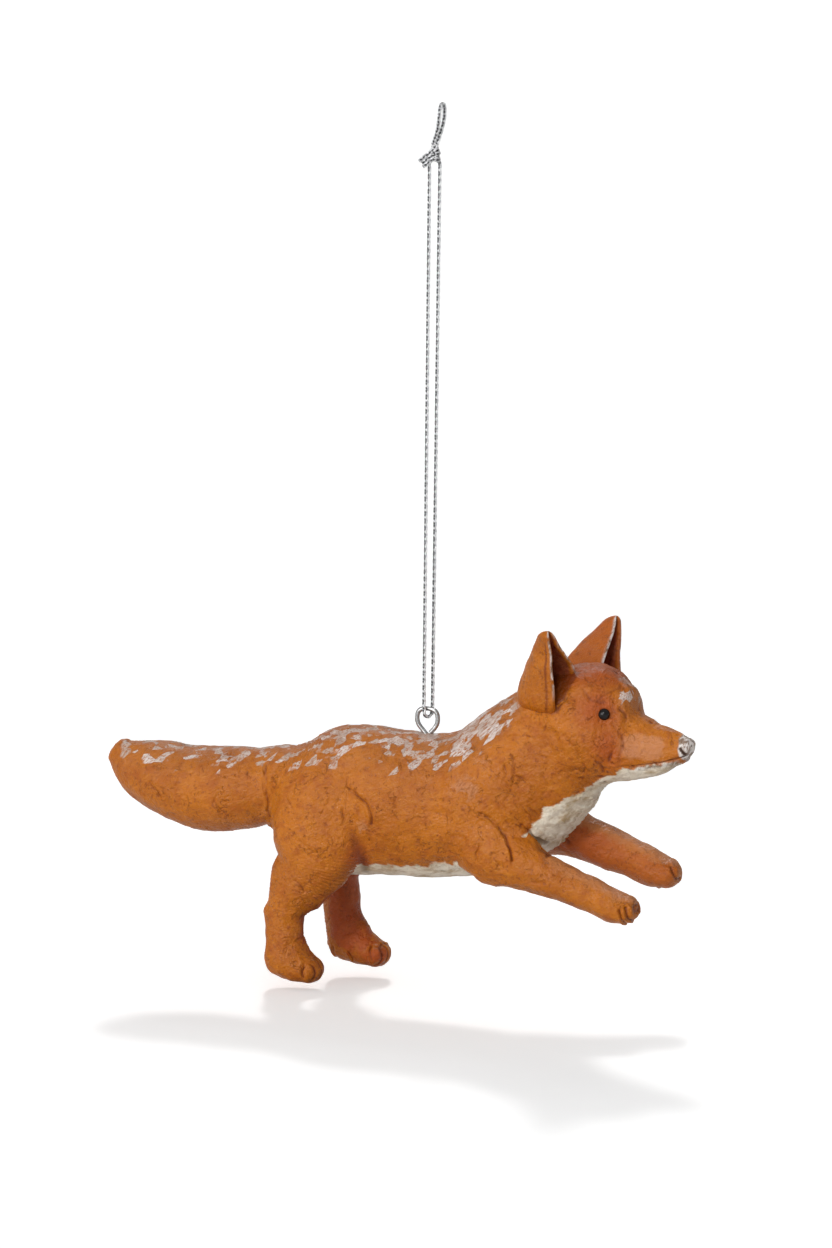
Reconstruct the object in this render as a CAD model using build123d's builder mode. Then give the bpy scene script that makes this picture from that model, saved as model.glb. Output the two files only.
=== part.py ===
from build123d import *
from math import cos, radians, sin, tan
import os

# A leaping fox that hangs from a cord loop. Millimetres, +Z up, +X towards the nose.
# The origin is where a hook bears inside the cord's small top loop.

# Cord and its fittings
cord_diameter = 0.8
hang_length = 125.0  # hook to the underside of the screw eye's ring
wire_diameter = 1.0
ring_diameter = 4.0  # centre line of the screw eye's ring
shank_length = 10.0
saddle_drop = 0.5  # the shank starts this far under the back, in a small countersink
fit_clearance = 0.05
countersink_margin = 0.3
bight_clearance = 0.22
knot_diameter = 2.5
knot_height = 3.7
knot_depth_below_hook = 10.6
knot_offset = -1.5  # the tight cord hangs this far behind the hook
loop_width = 3.2  # centre line of the small top loop
loop_clearance = 0.25

# Fox, as it hangs level
torso_length = 65.0
torso_depth = 31.0
torso_width = 25.0
head_length = 40.0
head_depth = 23.6
head_width = 23.0
ear_height = 17.0
ear_width = 9.6
ear_depth = 10.6
tail_length = 39.0
tail_depth = 17.6
tail_width = 17.2
foreleg_length = 31.5
foreleg_depth = 12.8
foreleg_width = 9.2
hindleg_height = 38.0
hindleg_depth = 19.0
hindleg_width = 11.2
foot_length = 10.5
foot_depth = 7.2
foot_width = 8.4
bead_diameter = 2.5

head_turn = -12.0  # degrees about the neck, towards the fox's right
bight_turn = 62.0  # degrees from the fox's length to the two strands at the eye
spread_turn = 20.0  # the same at the knot
loop_turn = 88.0  # the same at the top loop
neck_angle = 22.0  # where the wire leaves the ring for its shank
wire_end_angle = 16.0  # where the ring's cut end stops short of the shank

# Stations down a lump: along and up its spine, half depth, half width, all as shares
# of the lump's own length, depth and width, and the lean of the section in degrees.
torso_shares = [
    (-0.500, -0.413, 0.242, 0.290, 0),
    (-0.438, -0.461, 0.345, 0.400, 0),
    (-0.346, -0.494, 0.455, 0.475, 0),
    (-0.223, -0.490, 0.510, 0.495, 0),
    (-0.069, -0.495, 0.490, 0.500, 0),
    (0.085, -0.478, 0.478, 0.490, 8),
    (0.238, -0.375, 0.490, 0.475, 20),
    (0.354, -0.175, 0.474, 0.440, 35),
    (0.438, 0.000, 0.430, 0.405, 37),
    (0.500, 0.140, 0.350, 0.345, 37),
]
skull_shares = [
    (-0.150, 0.045, 0.300, 0.275, 0),
    (-0.080, 0.035, 0.430, 0.410, 0),
    (0.070, 0.005, 0.496, 0.450, 0),
    (0.195, -0.045, 0.462, 0.350, 0),
    (0.270, -0.100, 0.360, 0.260, 0),
]
muzzle_shares = [
    (0.170, -0.120, 0.350, 0.320, 0),
    (0.300, -0.133, 0.312, 0.280, 0),
    (0.400, -0.131, 0.272, 0.230, 0),
    (0.500, -0.145, 0.219, 0.180, 0),
    (0.590, -0.127, 0.150, 0.138, 0),
    (0.640, -0.112, 0.102, 0.105, 0),
]
tail_shares = [
    (0.000, 0.000, 0.420, 0.410, 0),
    (0.200, -0.065, 0.468, 0.462, -4),
    (0.400, -0.125, 0.500, 0.496, 0),
    (0.590, -0.105, 0.478, 0.468, 12),
    (0.750, -0.010, 0.415, 0.405, 20),
    (0.880, 0.098, 0.307, 0.310, 28),
    (0.970, 0.217, 0.190, 0.203, 34),
]
foreleg_shares = [
    (0.000, 0.000, 0.500, 0.500, -25),
    (0.190, -0.175, 0.461, 0.510, -24),
    (0.385, -0.340, 0.345, 0.470, -22),
    (0.621, -0.535, 0.290, 0.415, -19),
    (0.803, -0.700, 0.280, 0.415, -17),
    (0.924, -0.810, 0.290, 0.470, -12),
    (0.985, -0.840, 0.240, 0.410, -8),
]
hindleg_shares = [
    (0.000, 0.026, 0.460, 0.410),
    (0.158, 0.026, 0.515, 0.500),
    (0.303, 0.011, 0.474, 0.500),
    (0.408, -0.047, 0.390, 0.445),
    (0.513, -0.195, 0.326, 0.390),
    (0.618, -0.330, 0.222, 0.320),
    (0.737, -0.365, 0.212, 0.305),
    (0.855, -0.320, 0.226, 0.330),
]
foot_shares = [
    (0.200, 0.050, 0.450, 0.420, -8),
    (0.540, -0.050, 0.490, 0.480, -12),
    (0.850, -0.180, 0.405, 0.500, -16),
]
ear_shares = [
    (0.00, -0.42, -0.42, 0.520, 0.500),
    (0.38, -0.32, -0.36, 0.510, 0.500),
    (0.67, -0.12, -0.09, 0.380, 0.400),
    (0.95, 0.04, 0.12, 0.130, 0.150),
]
hollow_shares = [
    (0.05, 0.06, -0.42, 0.370, 0.360),
    (0.50, 0.06, -0.24, 0.340, 0.345),
    (0.86, 0.17, 0.08, 0.090, 0.100),
]
round_off_degrees = (38, 68)
round_off_share = 0.42
fillet_share = 0.45
cord_sides = 8


def rounded(stations):
    """The stations with a quarter-round run-out past each end."""
    first, last = stations[0], stations[-1]
    before, after = [], []
    for angle in round_off_degrees:
        size = cos(radians(angle))
        step = sin(radians(angle)) * round_off_share
        for end, sign, out in ((first, -1, before), (last, 1, after)):
            plane, half_width, half_depth = end
            reach = sign * step * (half_width + half_depth)
            out.append((plane.offset(reach), half_width * size, half_depth * size))
    return before[::-1] + list(stations) + after


def lump(stations):
    """One swelling, round-ended lump lofted through its oval sections."""
    with BuildPart() as piece:
        for plane, half_width, half_depth in rounded(stations):
            with BuildSketch(plane):
                with BuildLine():
                    for start in (0, 180):
                        EllipticalCenterArc((0, 0), half_width, half_depth, start, arc_size=180)
                make_face()
        loft()
    return piece.part


def leaning_plane(place, lean, turn, heading):
    """A section plane across the spine, leaning in the fox's length and turned about Z."""
    ahead = Vector(heading * cos(radians(lean)), 0, sin(radians(lean))).rotate(Axis.Z, turn)
    across = Vector(0, 1, 0).rotate(Axis.Z, turn)
    return Plane(origin=place, x_dir=across, z_dir=ahead)


def level_plane(place):
    """A section plane across an upright spine, facing down."""
    return Plane(origin=place, x_dir=(0, 1, 0), z_dir=(0, 0, -1))


def lengthwise(shares, root, length, depth, width, turn=0.0, heading=1):
    """Stations of a lump that runs along the fox, from the table of its shares."""
    stations = []
    for along, up, half_depth, half_width, lean in shares:
        place = Vector(heading * along * length, 0, up * depth).rotate(Axis.Z, turn)
        plane = leaning_plane(root + place, lean, turn, heading)
        stations.append((plane, half_width * width, half_depth * depth))
    return stations


def corner_radii(points):
    """The fillet radius at each inner point of a route, from the shorter of its two runs."""
    radii = []
    for before, here, after in zip(points, points[1:], points[2:]):
        run_in, run_out = Vector(here) - Vector(before), Vector(after) - Vector(here)
        half_turn = radians(run_in.get_angle(run_out)) / 2
        radii.append(fillet_share * min(run_in.length, run_out.length) / tan(half_turn))
    return radii


# Heights that follow from the cord and the ring
ring_radius = ring_diameter / 2
wire_radius = wire_diameter / 2
cord_radius = cord_diameter / 2
ring_height = -hang_length - ring_radius + wire_radius
neck_side = ring_radius * sin(radians(neck_angle))
neck_bend_radius = neck_side / (1 - sin(radians(neck_angle)))
neck_drop = ring_radius * cos(radians(neck_angle)) + neck_bend_radius * cos(radians(neck_angle))
shank_top = ring_height - neck_drop
back_height = shank_top + saddle_drop
back = Vector(knot_offset, 0, back_height)

# Torso with its thick, rising neck
torso_stations = lengthwise(torso_shares, back, torso_length, torso_depth, torso_width)
with BuildPart() as torso:
    add(lump(torso_stations))
    pilot_depth = shank_length + fit_clearance
    with BuildSketch(Plane.XY.offset(shank_top)):
        with Locations((knot_offset, 0)):
            Circle(wire_radius + fit_clearance)
    extrude(amount=-pilot_depth, mode=Mode.SUBTRACT)
    with BuildSketch(Plane.XY.offset(shank_top)):
        with Locations((knot_offset, 0)):
            Circle(wire_radius + countersink_margin)
    extrude(amount=ring_radius, mode=Mode.SUBTRACT)

# Head: skull and muzzle, turned on the neck's last station, with two bead sockets
neck_end = torso_stations[-1][0].origin
skull_stations = lengthwise(skull_shares, neck_end, head_length, head_depth, head_width, head_turn)
muzzle_stations = lengthwise(muzzle_shares, neck_end, head_length, head_depth, head_width, head_turn)
bead_along_share, bead_side_share, bead_up_share = 0.245, 0.272, 0.152
nape_share = 0.075  # the skull is cut off this far behind the neck's end
bead_radius = bead_diameter / 2
bead_places = {}
for side, hand in (("right", -1), ("left", 1)):
    place = Vector(
        bead_along_share * head_length, hand * bead_side_share * head_width, bead_up_share * head_depth
    )
    bead_places[side] = neck_end + place.rotate(Axis.Z, head_turn)
with BuildPart() as head:
    add(lump(skull_stations))
    add(lump(muzzle_stations))
    add(torso.part, mode=Mode.SUBTRACT)
    split(bisect_by=torso_stations[-1][0].offset(-nape_share * head_length), keep=Keep.TOP)
    with Locations(*bead_places.values()):
        Sphere(bead_radius + fit_clearance, mode=Mode.SUBTRACT)


def ear_lump(shares, hand):
    """A tapering ear form on one side of the head, or the hollow scooped out of it."""
    stations = []
    for up, along, out, half_across, half_deep in shares:
        place = Vector(
            ear_root_along + along * ear_depth,
            hand * (ear_root_side + out * ear_width),
            ear_root_up + up * ear_height,
        )
        plane = Plane(
            origin=neck_end + place.rotate(Axis.Z, head_turn),
            x_dir=Vector(0, 1, 0).rotate(Axis.Z, head_turn),
            z_dir=(0, 0, 1),
        )
        stations.append((plane, half_across * ear_width, half_deep * ear_depth))
    return lump(stations)


ear_root_along_share, ear_root_side_share, ear_root_up_share = 0.010, 0.515, 0.105
ear_root_along = ear_root_along_share * head_length
ear_root_side = ear_root_side_share * head_width
ear_root_up = ear_root_up_share * head_depth


def ear(hand):
    """One pricked ear with its scooped hollow, cut to sit on the skull."""
    with BuildPart() as piece:
        add(ear_lump(ear_shares, hand))
        add(ear_lump(hollow_shares, hand), mode=Mode.SUBTRACT)
        add(head.part, mode=Mode.SUBTRACT)
        add(torso.part, mode=Mode.SUBTRACT)
    return piece.part


# Tail, seated on the rump
tail_root_share = 0.04
tail_root = torso_stations[0][0].origin + Vector(tail_root_share * torso_length, 0, 0)
tail_stations = lengthwise(tail_shares, tail_root, tail_length, tail_depth, tail_width, 0.0, -1)
with BuildPart() as tail:
    add(lump(tail_stations))
    add(torso.part, mode=Mode.SUBTRACT)

# Legs. The far pair reaches further forward than the near pair, as in a leap.
shoulder_along_share, shoulder_up_share, shoulder_side_share = 0.231, -0.684, 0.330
hip_along_share, hip_up_share, hip_side_share = -0.323, -0.452, 0.328
far_reach_share, far_lift_share = 0.110, 0.390
stride_share, far_foot_lift_share = 0.250, 0.034
ankle_back_share, ankle_drop_share = 0.405, 0.302


def foreleg(hand, reach, lift):
    """A foreleg stretched forward from the shoulder to its rounded paw."""
    shoulder = back + Vector(
        shoulder_along_share * torso_length + reach,
        hand * shoulder_side_share * torso_width,
        shoulder_up_share * torso_depth + lift,
    )
    stations = lengthwise(foreleg_shares, shoulder, foreleg_length, foreleg_depth, foreleg_width)
    with BuildPart() as piece:
        add(lump(stations))
        add(torso.part, mode=Mode.SUBTRACT)
    return piece.part


def hindleg(hand, stride, lift):
    """A hind leg: thigh, hock and foot, swung forward by the stride."""
    hip = back + Vector(
        hip_along_share * torso_length,
        hand * hip_side_share * torso_width,
        hip_up_share * torso_depth,
    )
    stations = []
    for down, along, half_depth, half_width in hindleg_shares:
        drop = down * hindleg_height
        place = Vector(along * hindleg_depth + stride * down, 0, lift * down - drop)
        plane = level_plane(hip + place)
        stations.append((plane, half_width * hindleg_width, half_depth * hindleg_depth))
    ankle_step = Vector(foot_length * ankle_back_share, 0, foot_depth * ankle_drop_share)
    ankle = stations[-1][0].origin - ankle_step
    foot_stations = lengthwise(foot_shares, ankle, foot_length, foot_depth, foot_width)
    with BuildPart() as piece:
        add(lump(stations))
        add(lump(foot_stations))
        add(torso.part, mode=Mode.SUBTRACT)
    return piece.part


# Glass bead eyes
def bead(side):
    """One round bead, bedded in its socket."""
    with BuildPart() as piece:
        with Locations(bead_places[side]):
            Sphere(bead_radius)
    return piece.part


# Screw eye: one wire that leaves its shank, goes round as a ring and stops short
ring_front = Plane(origin=(knot_offset, 0, ring_height), x_dir=(1, 0, 0), z_dir=(0, -1, 0))
ring_sweep = 360 - neck_angle - wire_end_angle
bend_centre = Vector(knot_offset - neck_bend_radius, 0, shank_top)
with BuildPart() as screw_eye:
    with BuildSketch(Plane.XY.offset(shank_top - shank_length)):
        with Locations((knot_offset, 0)):
            Circle(wire_radius)
    extrude(amount=shank_length)
    with BuildSketch(Plane.XY.offset(shank_top)):
        with Locations((knot_offset, 0)):
            Circle(wire_radius)
    revolve(axis=Axis(bend_centre, (0, -1, 0)), revolution_arc=90 - neck_angle)
    wire_end = ring_front.from_local_coords(Vector(0, -ring_radius, 0).rotate(Axis.Z, wire_end_angle))
    wire_heading = (wire_end - ring_front.origin).cross(Vector(0, 1, 0))
    with BuildSketch(Plane(origin=wire_end, x_dir=(0, 1, 0), z_dir=wire_heading)):
        Circle(wire_radius)
    revolve(axis=Axis(ring_front.origin, (0, -1, 0)), revolution_arc=ring_sweep)

# Cord. The knot's round underside is where the two strands swing.
knot_radius = knot_diameter / 2
knot_centre = Vector(knot_offset, 0, -knot_depth_below_hook)
knot_top = knot_height - knot_radius


def heading_vector(turn):
    """A level unit vector, turned from the fox's length."""
    return Vector(cos(radians(turn)), sin(radians(turn)), 0)


bight_radius = wire_radius / sin(radians(bight_turn)) + cord_radius + bight_clearance
bight_height = bight_radius - hang_length - cord_radius - bight_clearance
bight_side = heading_vector(bight_turn)
strand_side = heading_vector(spread_turn)
eighth_turn_share = tan(radians(22.5))
strand_gap_share = 0.84
strand_drop_share = 0.98
strand_offset = knot_radius * strand_gap_share
strand_top = knot_centre - Vector(0, 0, knot_radius * strand_drop_share)
bight_centre = Vector(knot_offset, 0, bight_height)
strand_points = [strand_top - strand_side * strand_offset]
for out_share, down_share in (
    (-1.0, eighth_turn_share),
    (-eighth_turn_share, 1.0),
    (eighth_turn_share, 1.0),
    (1.0, eighth_turn_share),
):
    fall = Vector(0, 0, down_share * bight_radius)
    strand_points.append(bight_centre + bight_side * (out_share * bight_radius) - fall)
strand_points.append(strand_top + strand_side * strand_offset)


def cord_tube(points, name):
    """A cord along straight runs joined by tangent arcs, with eight flats round it."""
    radii = corner_radii(points)
    with BuildPart() as piece:
        with BuildLine() as route:
            FilletPolyline(*points, radius=radii)
        with BuildSketch(Plane(origin=route.wire() @ 0, z_dir=route.wire() % 0)) as section:
            RegularPolygon(cord_radius, cord_sides)
        sweep(path=route.wire(), transition=Transition.TRANSFORMED)
    length = route.wire().length
    expected = section.sketch.area * length
    print(name, "length", round(length, 2), "volume", round(piece.part.volume, 3), "of", round(expected, 3))
    print(name, "radii", [round(radius, 2) for radius in radii])
    return piece.part


# The top loop's right half above its root: out from the middle as a share of its width,
# height as a share of the knot's depth, turn of the pair about the upright in degrees,
# and how far the middle has leant back as a share of the knot's offset.
loop_shares = [
    (0.144, -0.505, 54.0, 0.413),
    (0.500, -0.245, loop_turn, 0.067),
    (0.359, 0.038, loop_turn, 0.000),
]
loop_root_share = 0.131
loop_root_height = knot_top + loop_clearance - knot_depth_below_hook
half_loop = [(loop_root_share * loop_width, loop_root_height, spread_turn, knot_offset)]
for out_share, up_share, turn, lean_share in loop_shares:
    out, up = out_share * loop_width, up_share * knot_depth_below_hook
    half_loop.append((out, up, turn, lean_share * knot_offset))
loop_points = []
for hand, places in ((-1, half_loop), (1, half_loop[::-1])):
    for out, up, turn, lean_back in places:
        loop_points.append(heading_vector(turn) * (hand * out) + Vector(lean_back, 0, up))

# Knot: a round underside, two wrapped turns above it and the cord's two cut ends
crown_share = 0.60
wrap_radius_share = 0.66
wrap_shares = [(0.50, 14.0), (1.28, -12.0)]  # height as a share of the knot's radius, tilt in degrees
cut_end_shares = [  # start and tip of each cut end, as shares of that radius from the knot's centre
    ((-0.30, -0.72, 0.10), (-1.97, -2.08, -0.30)),
    ((-0.25, -0.75, 0.00), (-0.92, -2.10, -2.28)),
]
with BuildPart() as cord_knot:
    with BuildSketch(Plane(origin=knot_centre, x_dir=(1, 0, 0), z_dir=(0, -1, 0))):
        with BuildLine():
            axis_line = Line((0, -knot_radius), (0, knot_top))
            crown = Line(axis_line @ 1, (crown_share * knot_radius, knot_top))
            side = Line(crown @ 1, (knot_radius, 0))
            RadiusArc(side @ 1, axis_line @ 0, knot_radius)
        make_face()
    revolve(axis=Axis(knot_centre, (0, 0, 1)))
    for up, tilt in wrap_shares:
        turn_centre = knot_centre + Vector(0, 0, up * knot_radius)
        turn_axis = Vector(sin(radians(tilt)), 0, cos(radians(tilt)))
        turn_out = turn_axis.cross(Vector(0, 1, 0))
        with BuildSketch(Plane(origin=turn_centre, x_dir=turn_out, z_dir=(0, 1, 0))):
            with Locations((wrap_radius_share * knot_radius, 0)):
                RegularPolygon(cord_radius, cord_sides)
        revolve(axis=Axis(turn_centre, turn_axis))
    for start, tip in cut_end_shares:
        root, end = (knot_centre + Vector(*place) * knot_radius for place in (start, tip))
        with BuildSketch(Plane(origin=root, z_dir=end - root)):
            RegularPolygon(cord_radius, cord_sides)
        extrude(amount=(end - root).length)

pieces = {
    "torso": torso.part,
    "head": head.part,
    "tail": tail.part,
    "ear_right": ear(-1),
    "ear_left": ear(1),
    "foreleg_right": foreleg(-1, 0, 0),
    "foreleg_left": foreleg(1, far_reach_share * foreleg_length, far_lift_share * foreleg_depth),
    "hindleg_right": hindleg(-1, 0, 0),
    "hindleg_left": hindleg(1, stride_share * hindleg_height, far_foot_lift_share * hindleg_height),
    "eye_bead_right": bead("right"),
    "eye_bead_left": bead("left"),
    "screw_eye": screw_eye.part,
    "cord_strands": cord_tube(strand_points, "cord_strands"),
    "cord_loop": cord_tube(loop_points, "cord_loop"),
    "cord_knot": cord_knot.part,
}
os.makedirs("parts", exist_ok=True)
for name, piece in pieces.items():
    piece.label = name
    export_step(piece, f"parts/{name}.step")
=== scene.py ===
# %% [markdown]
# # A leaping fox on a silver cord
# The ornament is cast resin, painted orange by hand and dry-brushed with silver on its back.
# It hangs from a small screw eye on a knotted loop of braided metallic cord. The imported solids
# give every place and size. This script gives them their finish.

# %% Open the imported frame
import bpy
import math
import numpy as np
from mathutils import Matrix


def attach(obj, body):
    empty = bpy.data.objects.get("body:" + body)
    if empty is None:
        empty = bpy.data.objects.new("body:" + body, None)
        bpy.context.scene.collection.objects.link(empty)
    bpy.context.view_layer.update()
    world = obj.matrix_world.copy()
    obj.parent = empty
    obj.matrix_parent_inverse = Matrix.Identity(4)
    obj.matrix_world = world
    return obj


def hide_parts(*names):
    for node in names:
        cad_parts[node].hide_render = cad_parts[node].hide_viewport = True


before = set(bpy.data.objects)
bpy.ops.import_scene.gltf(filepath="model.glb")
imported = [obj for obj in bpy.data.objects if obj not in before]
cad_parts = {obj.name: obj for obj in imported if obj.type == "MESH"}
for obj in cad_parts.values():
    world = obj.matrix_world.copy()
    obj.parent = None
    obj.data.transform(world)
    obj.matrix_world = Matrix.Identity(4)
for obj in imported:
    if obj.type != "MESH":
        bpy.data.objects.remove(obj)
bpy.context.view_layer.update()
mm = 0.001

# %% [markdown]
# ## Camera
# A long lens from 1.5 m, turned 20 degrees towards the fox's face and 9 degrees above it, keeps
# the legs and tail nearly undistorted. A camera can be set by an object it tracks. Here its three
# axes are worked out from the angles, so that the small lean of the hanging cord can be a roll.

# %% Camera
far_away, pixel = 1500.0, 0.205  # mm to the lens, and mm that one pixel of 832 covers
picture_centre = np.array([-4.37, 0.0, -106.56])


def look_axes(azimuth, elevation, roll):
    """Right, up and back of a camera: back is the unit vector at those two angles, right lies level
    and square to it, up is back cross right, and the roll turns right and up in their own plane."""
    a, e, r = np.radians([azimuth, elevation, roll])
    back = np.array([np.sin(a) * np.cos(e), -np.cos(a) * np.cos(e), np.sin(e)])
    right = np.array([np.cos(a), np.sin(a), 0.0])
    up = np.cross(back, right)
    return right * np.cos(r) + up * np.sin(r), up * np.cos(r) - right * np.sin(r), back


axes = look_axes(20.0, 9.0, 0.67)
lens = bpy.data.cameras.new("camera")
lens.sensor_fit = "HORIZONTAL"
lens.sensor_width = 36.0
lens.lens = 36.0 * far_away / (832 * pixel)
lens.clip_end = 100.0
camera = bpy.data.objects.new("camera", lens)
placing = np.eye(4)
placing[:3, :3] = np.array(axes).T
placing[:3, 3] = (picture_centre + axes[2] * far_away) * mm
camera.matrix_world = Matrix(placing.tolist())
bpy.context.scene.collection.objects.link(camera)
bpy.context.scene.camera = camera
print("lens", round(lens.lens, 1), "mm")

# %% [markdown]
# ## Meshes from arrays
# Every new piece is a grid of points that closes on itself one way and ends in two poles the other
# way. One helper lays the faces, makes sure they point outwards and writes the mesh.

# %% Helpers that write a mesh


def tube_faces(rings, spokes):
    """Faces of a closed tube: each quad joins spoke j and j+1 of rings i and i+1, and a fan of
    triangles joins the first and last ring to one pole each."""
    i, j = np.meshgrid(np.arange(rings - 1), np.arange(spokes), indexing="ij")
    k = (j + 1) % spokes
    quads = np.stack([i * spokes + j, i * spokes + k, (i + 1) * spokes + k, (i + 1) * spokes + j], -1)
    a = np.arange(spokes)
    b = (a + 1) % spokes
    last = (rings - 1) * spokes
    first_pole = np.full(spokes, rings * spokes)
    fans = [np.stack([first_pole, b, a], 1), np.stack([first_pole + 1, last + a, last + b], 1)]
    return quads.reshape(-1, 4), np.concatenate(fans)


def enclosed(points, quads, fans):
    """Volume inside a closed mesh: a sixth of the summed triple products of its triangles."""
    triangles = np.concatenate([quads[:, [0, 1, 2]], quads[:, [0, 2, 3]], fans])
    a, b, c = (points[triangles[:, n]] for n in range(3))
    return np.einsum("ij,ij->i", a, np.cross(b, c)).sum() / 6


def write_mesh(name, parts, marks=None):
    """One object at the origin from several closed tubes, each given as points in mm with its
    quads and triangles. A tube whose volume comes out negative has its faces turned round."""
    points, loops, sizes, base = [], [], [], 0
    for p, quads, fans in parts:
        if enclosed(p - p.mean(0), quads, fans) < 0:
            quads, fans = quads[:, ::-1], fans[:, ::-1]
        points.append(p)
        loops += [(quads + base).ravel(), (fans + base).ravel()]
        sizes += [np.full(len(quads), 4), np.full(len(fans), 3)]
        base += len(p)
    points, loops, sizes = np.concatenate(points) * mm, np.concatenate(loops), np.concatenate(sizes)
    mesh = bpy.data.meshes.new(name)
    mesh.vertices.add(len(points))
    mesh.vertices.foreach_set("co", points.astype(np.float32).ravel())
    mesh.loops.add(len(loops))
    mesh.loops.foreach_set("vertex_index", loops.astype(np.int32))
    mesh.polygons.add(len(sizes))
    mesh.polygons.foreach_set("loop_start", (np.cumsum(sizes) - sizes).astype(np.int32))
    mesh.polygons.foreach_set("use_smooth", np.ones(len(sizes), bool))
    mesh.update(calc_edges=True)
    for mark, values in (marks or {}).items():
        layer = mesh.attributes.new(mark, "FLOAT", "POINT")
        layer.data.foreach_set("value", values.astype(np.float32))
    piece = bpy.data.objects.new(name, mesh)
    bpy.context.scene.collection.objects.link(piece)
    print(name, "triangles", int((sizes - 2).sum()))
    return piece


def unit(v):
    """The vectors divided by their lengths."""
    return v / np.maximum(np.linalg.norm(v, axis=-1, keepdims=True), 1e-12)


# %% [markdown]
# ## The cord
# The real cord is metallic thread braided round, about 0.8 mm thick, with a small loop for the hook,
# a knot whose cut ends stick out, and two strands that go through the screw eye. Each stretch
# is a smooth NURBS curve through the few points that the solids were made from. The braid is four
# thin tubes that wind round that curve, two each way, and change over and under as they cross.

# %% Centre lines of the cord
strand_route = [
    (-2.487, -0.359, -11.825), (-2.076, -1.017, -120.0), (-2.057, -1.047, -124.925),
    (-1.731, -0.434, -125.62), (-1.269, 0.434, -125.62), (-0.943, 1.047, -124.925),
    (-0.924, 1.017, -120.0), (-0.513, 0.359, -11.825),
]
loop_route = [
    (-1.895, -0.144, -7.9), (-0.89, -0.372, -5.35), (-0.156, -1.599, -2.6), (-0.04, -1.149, 0.4),
    (0.04, 1.149, 0.4), (-0.044, 1.599, -2.6), (-0.35, 0.372, -5.35), (-1.105, 0.144, -7.9),
]


def read_curve(name, route, fineness):
    """Points of a smooth quadratic NURBS curve with the route's points as its control points."""
    data = bpy.data.curves.new(name, "CURVE")
    data.dimensions = "3D"
    data.resolution_u = fineness
    line = data.splines.new("NURBS")
    line.points.add(len(route) - 1)
    line.points.foreach_set("co", np.c_[np.array(route) * mm, np.ones(len(route))].ravel())
    line.order_u = 3
    line.use_endpoint_u = True
    holder = bpy.data.objects.new(name, data)
    bpy.context.scene.collection.objects.link(holder)
    bpy.context.view_layer.update()
    flat = bpy.data.meshes.new_from_object(holder)
    co = np.zeros(len(flat.vertices) * 3)
    flat.vertices.foreach_get("co", co)
    bpy.data.objects.remove(holder)
    return co.reshape(-1, 3) / mm


def even_steps(points, step):
    """The same line with points a fixed step apart along its length."""
    run = np.r_[0, np.cumsum(np.linalg.norm(np.diff(points, axis=0), axis=1))]
    where = np.linspace(0, run[-1], max(int(run[-1] / step), 8))
    return np.stack([np.interp(where, run, points[:, n]) for n in range(3)], 1), where


def braid(points, sideways, step, sides=6, pitch=3.0, thread=0.195, radius=0.205, weave=0.065):
    """Four threads round a line. Thread k stands at an angle that grows with the distance s by two pi
    per pitch, one way for two threads and the other way for two, at a radius that swells and
    shrinks twice per pitch, so that each goes over and under the others. Returns the tubes, how
    far under each point lies and the length."""
    line, s = even_steps(points, step)
    ahead = unit(np.gradient(line, axis=0))
    out = unit(np.array(sideways) - (ahead @ np.array(sideways))[:, None] * ahead)
    across = np.cross(ahead, out)
    tubes, unders = [], []
    for way, phase in ((1, 0.0), (1, np.pi), (-1, np.pi / 2), (-1, -np.pi / 2)):
        turn = way * 2 * np.pi * s / pitch + phase
        swing = way * np.cos(4 * np.pi * s / pitch)
        far = radius + weave * swing
        middle = line + (far * np.cos(turn))[:, None] * out + (far * np.sin(turn))[:, None] * across
        forward = unit(np.gradient(middle, axis=0))
        outward = unit(middle - line)
        outward = unit(outward - (outward * forward).sum(1, keepdims=True) * forward)
        beside = np.cross(forward, outward)
        a = np.arange(sides) * 2 * np.pi / sides
        ring = middle[:, None] + thread * (
            np.cos(a)[None, :, None] * outward[:, None] + 1.2 * np.sin(a)[None, :, None] * beside[:, None]
        )
        grid = np.concatenate([ring.reshape(-1, 3), middle[:1], middle[-1:]])
        tubes.append((grid, *tube_faces(len(line), sides)))
        unders.append(np.r_[np.repeat(0.5 - 0.5 * swing, sides), 0.5, 0.5])
    return tubes, unders, s[-1]


strand_line = read_curve("strand_line", strand_route, 400)
strand_tubes, unders, strand_length = braid(strand_line, (-0.883, 0.469, 0), 0.12)
cord_strands = write_mesh("silver_cord_strands", strand_tubes, {"under": np.concatenate(unders)})
loop_line = read_curve("loop_line", loop_route, 60)
loop_tubes, unders, loop_length = braid(loop_line, (1.0, 0.05, 0.2), 0.12)
cord_loop = write_mesh("silver_cord_loop", loop_tubes, {"under": np.concatenate(unders)})
print("cord lengths in mm: strands", round(strand_length, 1), "top loop", round(loop_length, 1))

# %% [markdown]
# ### The knot
# An overhand knot in doubled cord reads as wraps round a core with its cut ends at one side. A real
# knot could be traced point by point. Three coils that lean opposite ways, round two strands that
# pass through, and three short ends side by side give the same look at this size.

# %% The knot
knot_heart = np.array([-1.5, 0.0, -10.6])


def coil(turns, radius, low, high, lean, start):
    """A coil round the upright: angle from the start by whole turns, height from low to high, the
    radius narrowing upwards, and a height added that goes once up and down per turn."""
    t = np.linspace(0, 1, 90)
    a = start + 2 * np.pi * turns * t
    wide = radius * (1 - 0.28 * t)
    height = low + (high - low) * t + lean * np.cos(a)
    return knot_heart + np.stack([wide * np.cos(a), wide * np.sin(a), height], 1)


def bent(ends):
    """A gently bent line through three points: a quadratic Bezier."""
    a, b, c = (knot_heart + np.array(e) for e in ends)
    t = np.linspace(0, 1, 24)[:, None]
    return a * (1 - t) ** 2 + 2 * b * t * (1 - t) + c * t ** 2


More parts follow.
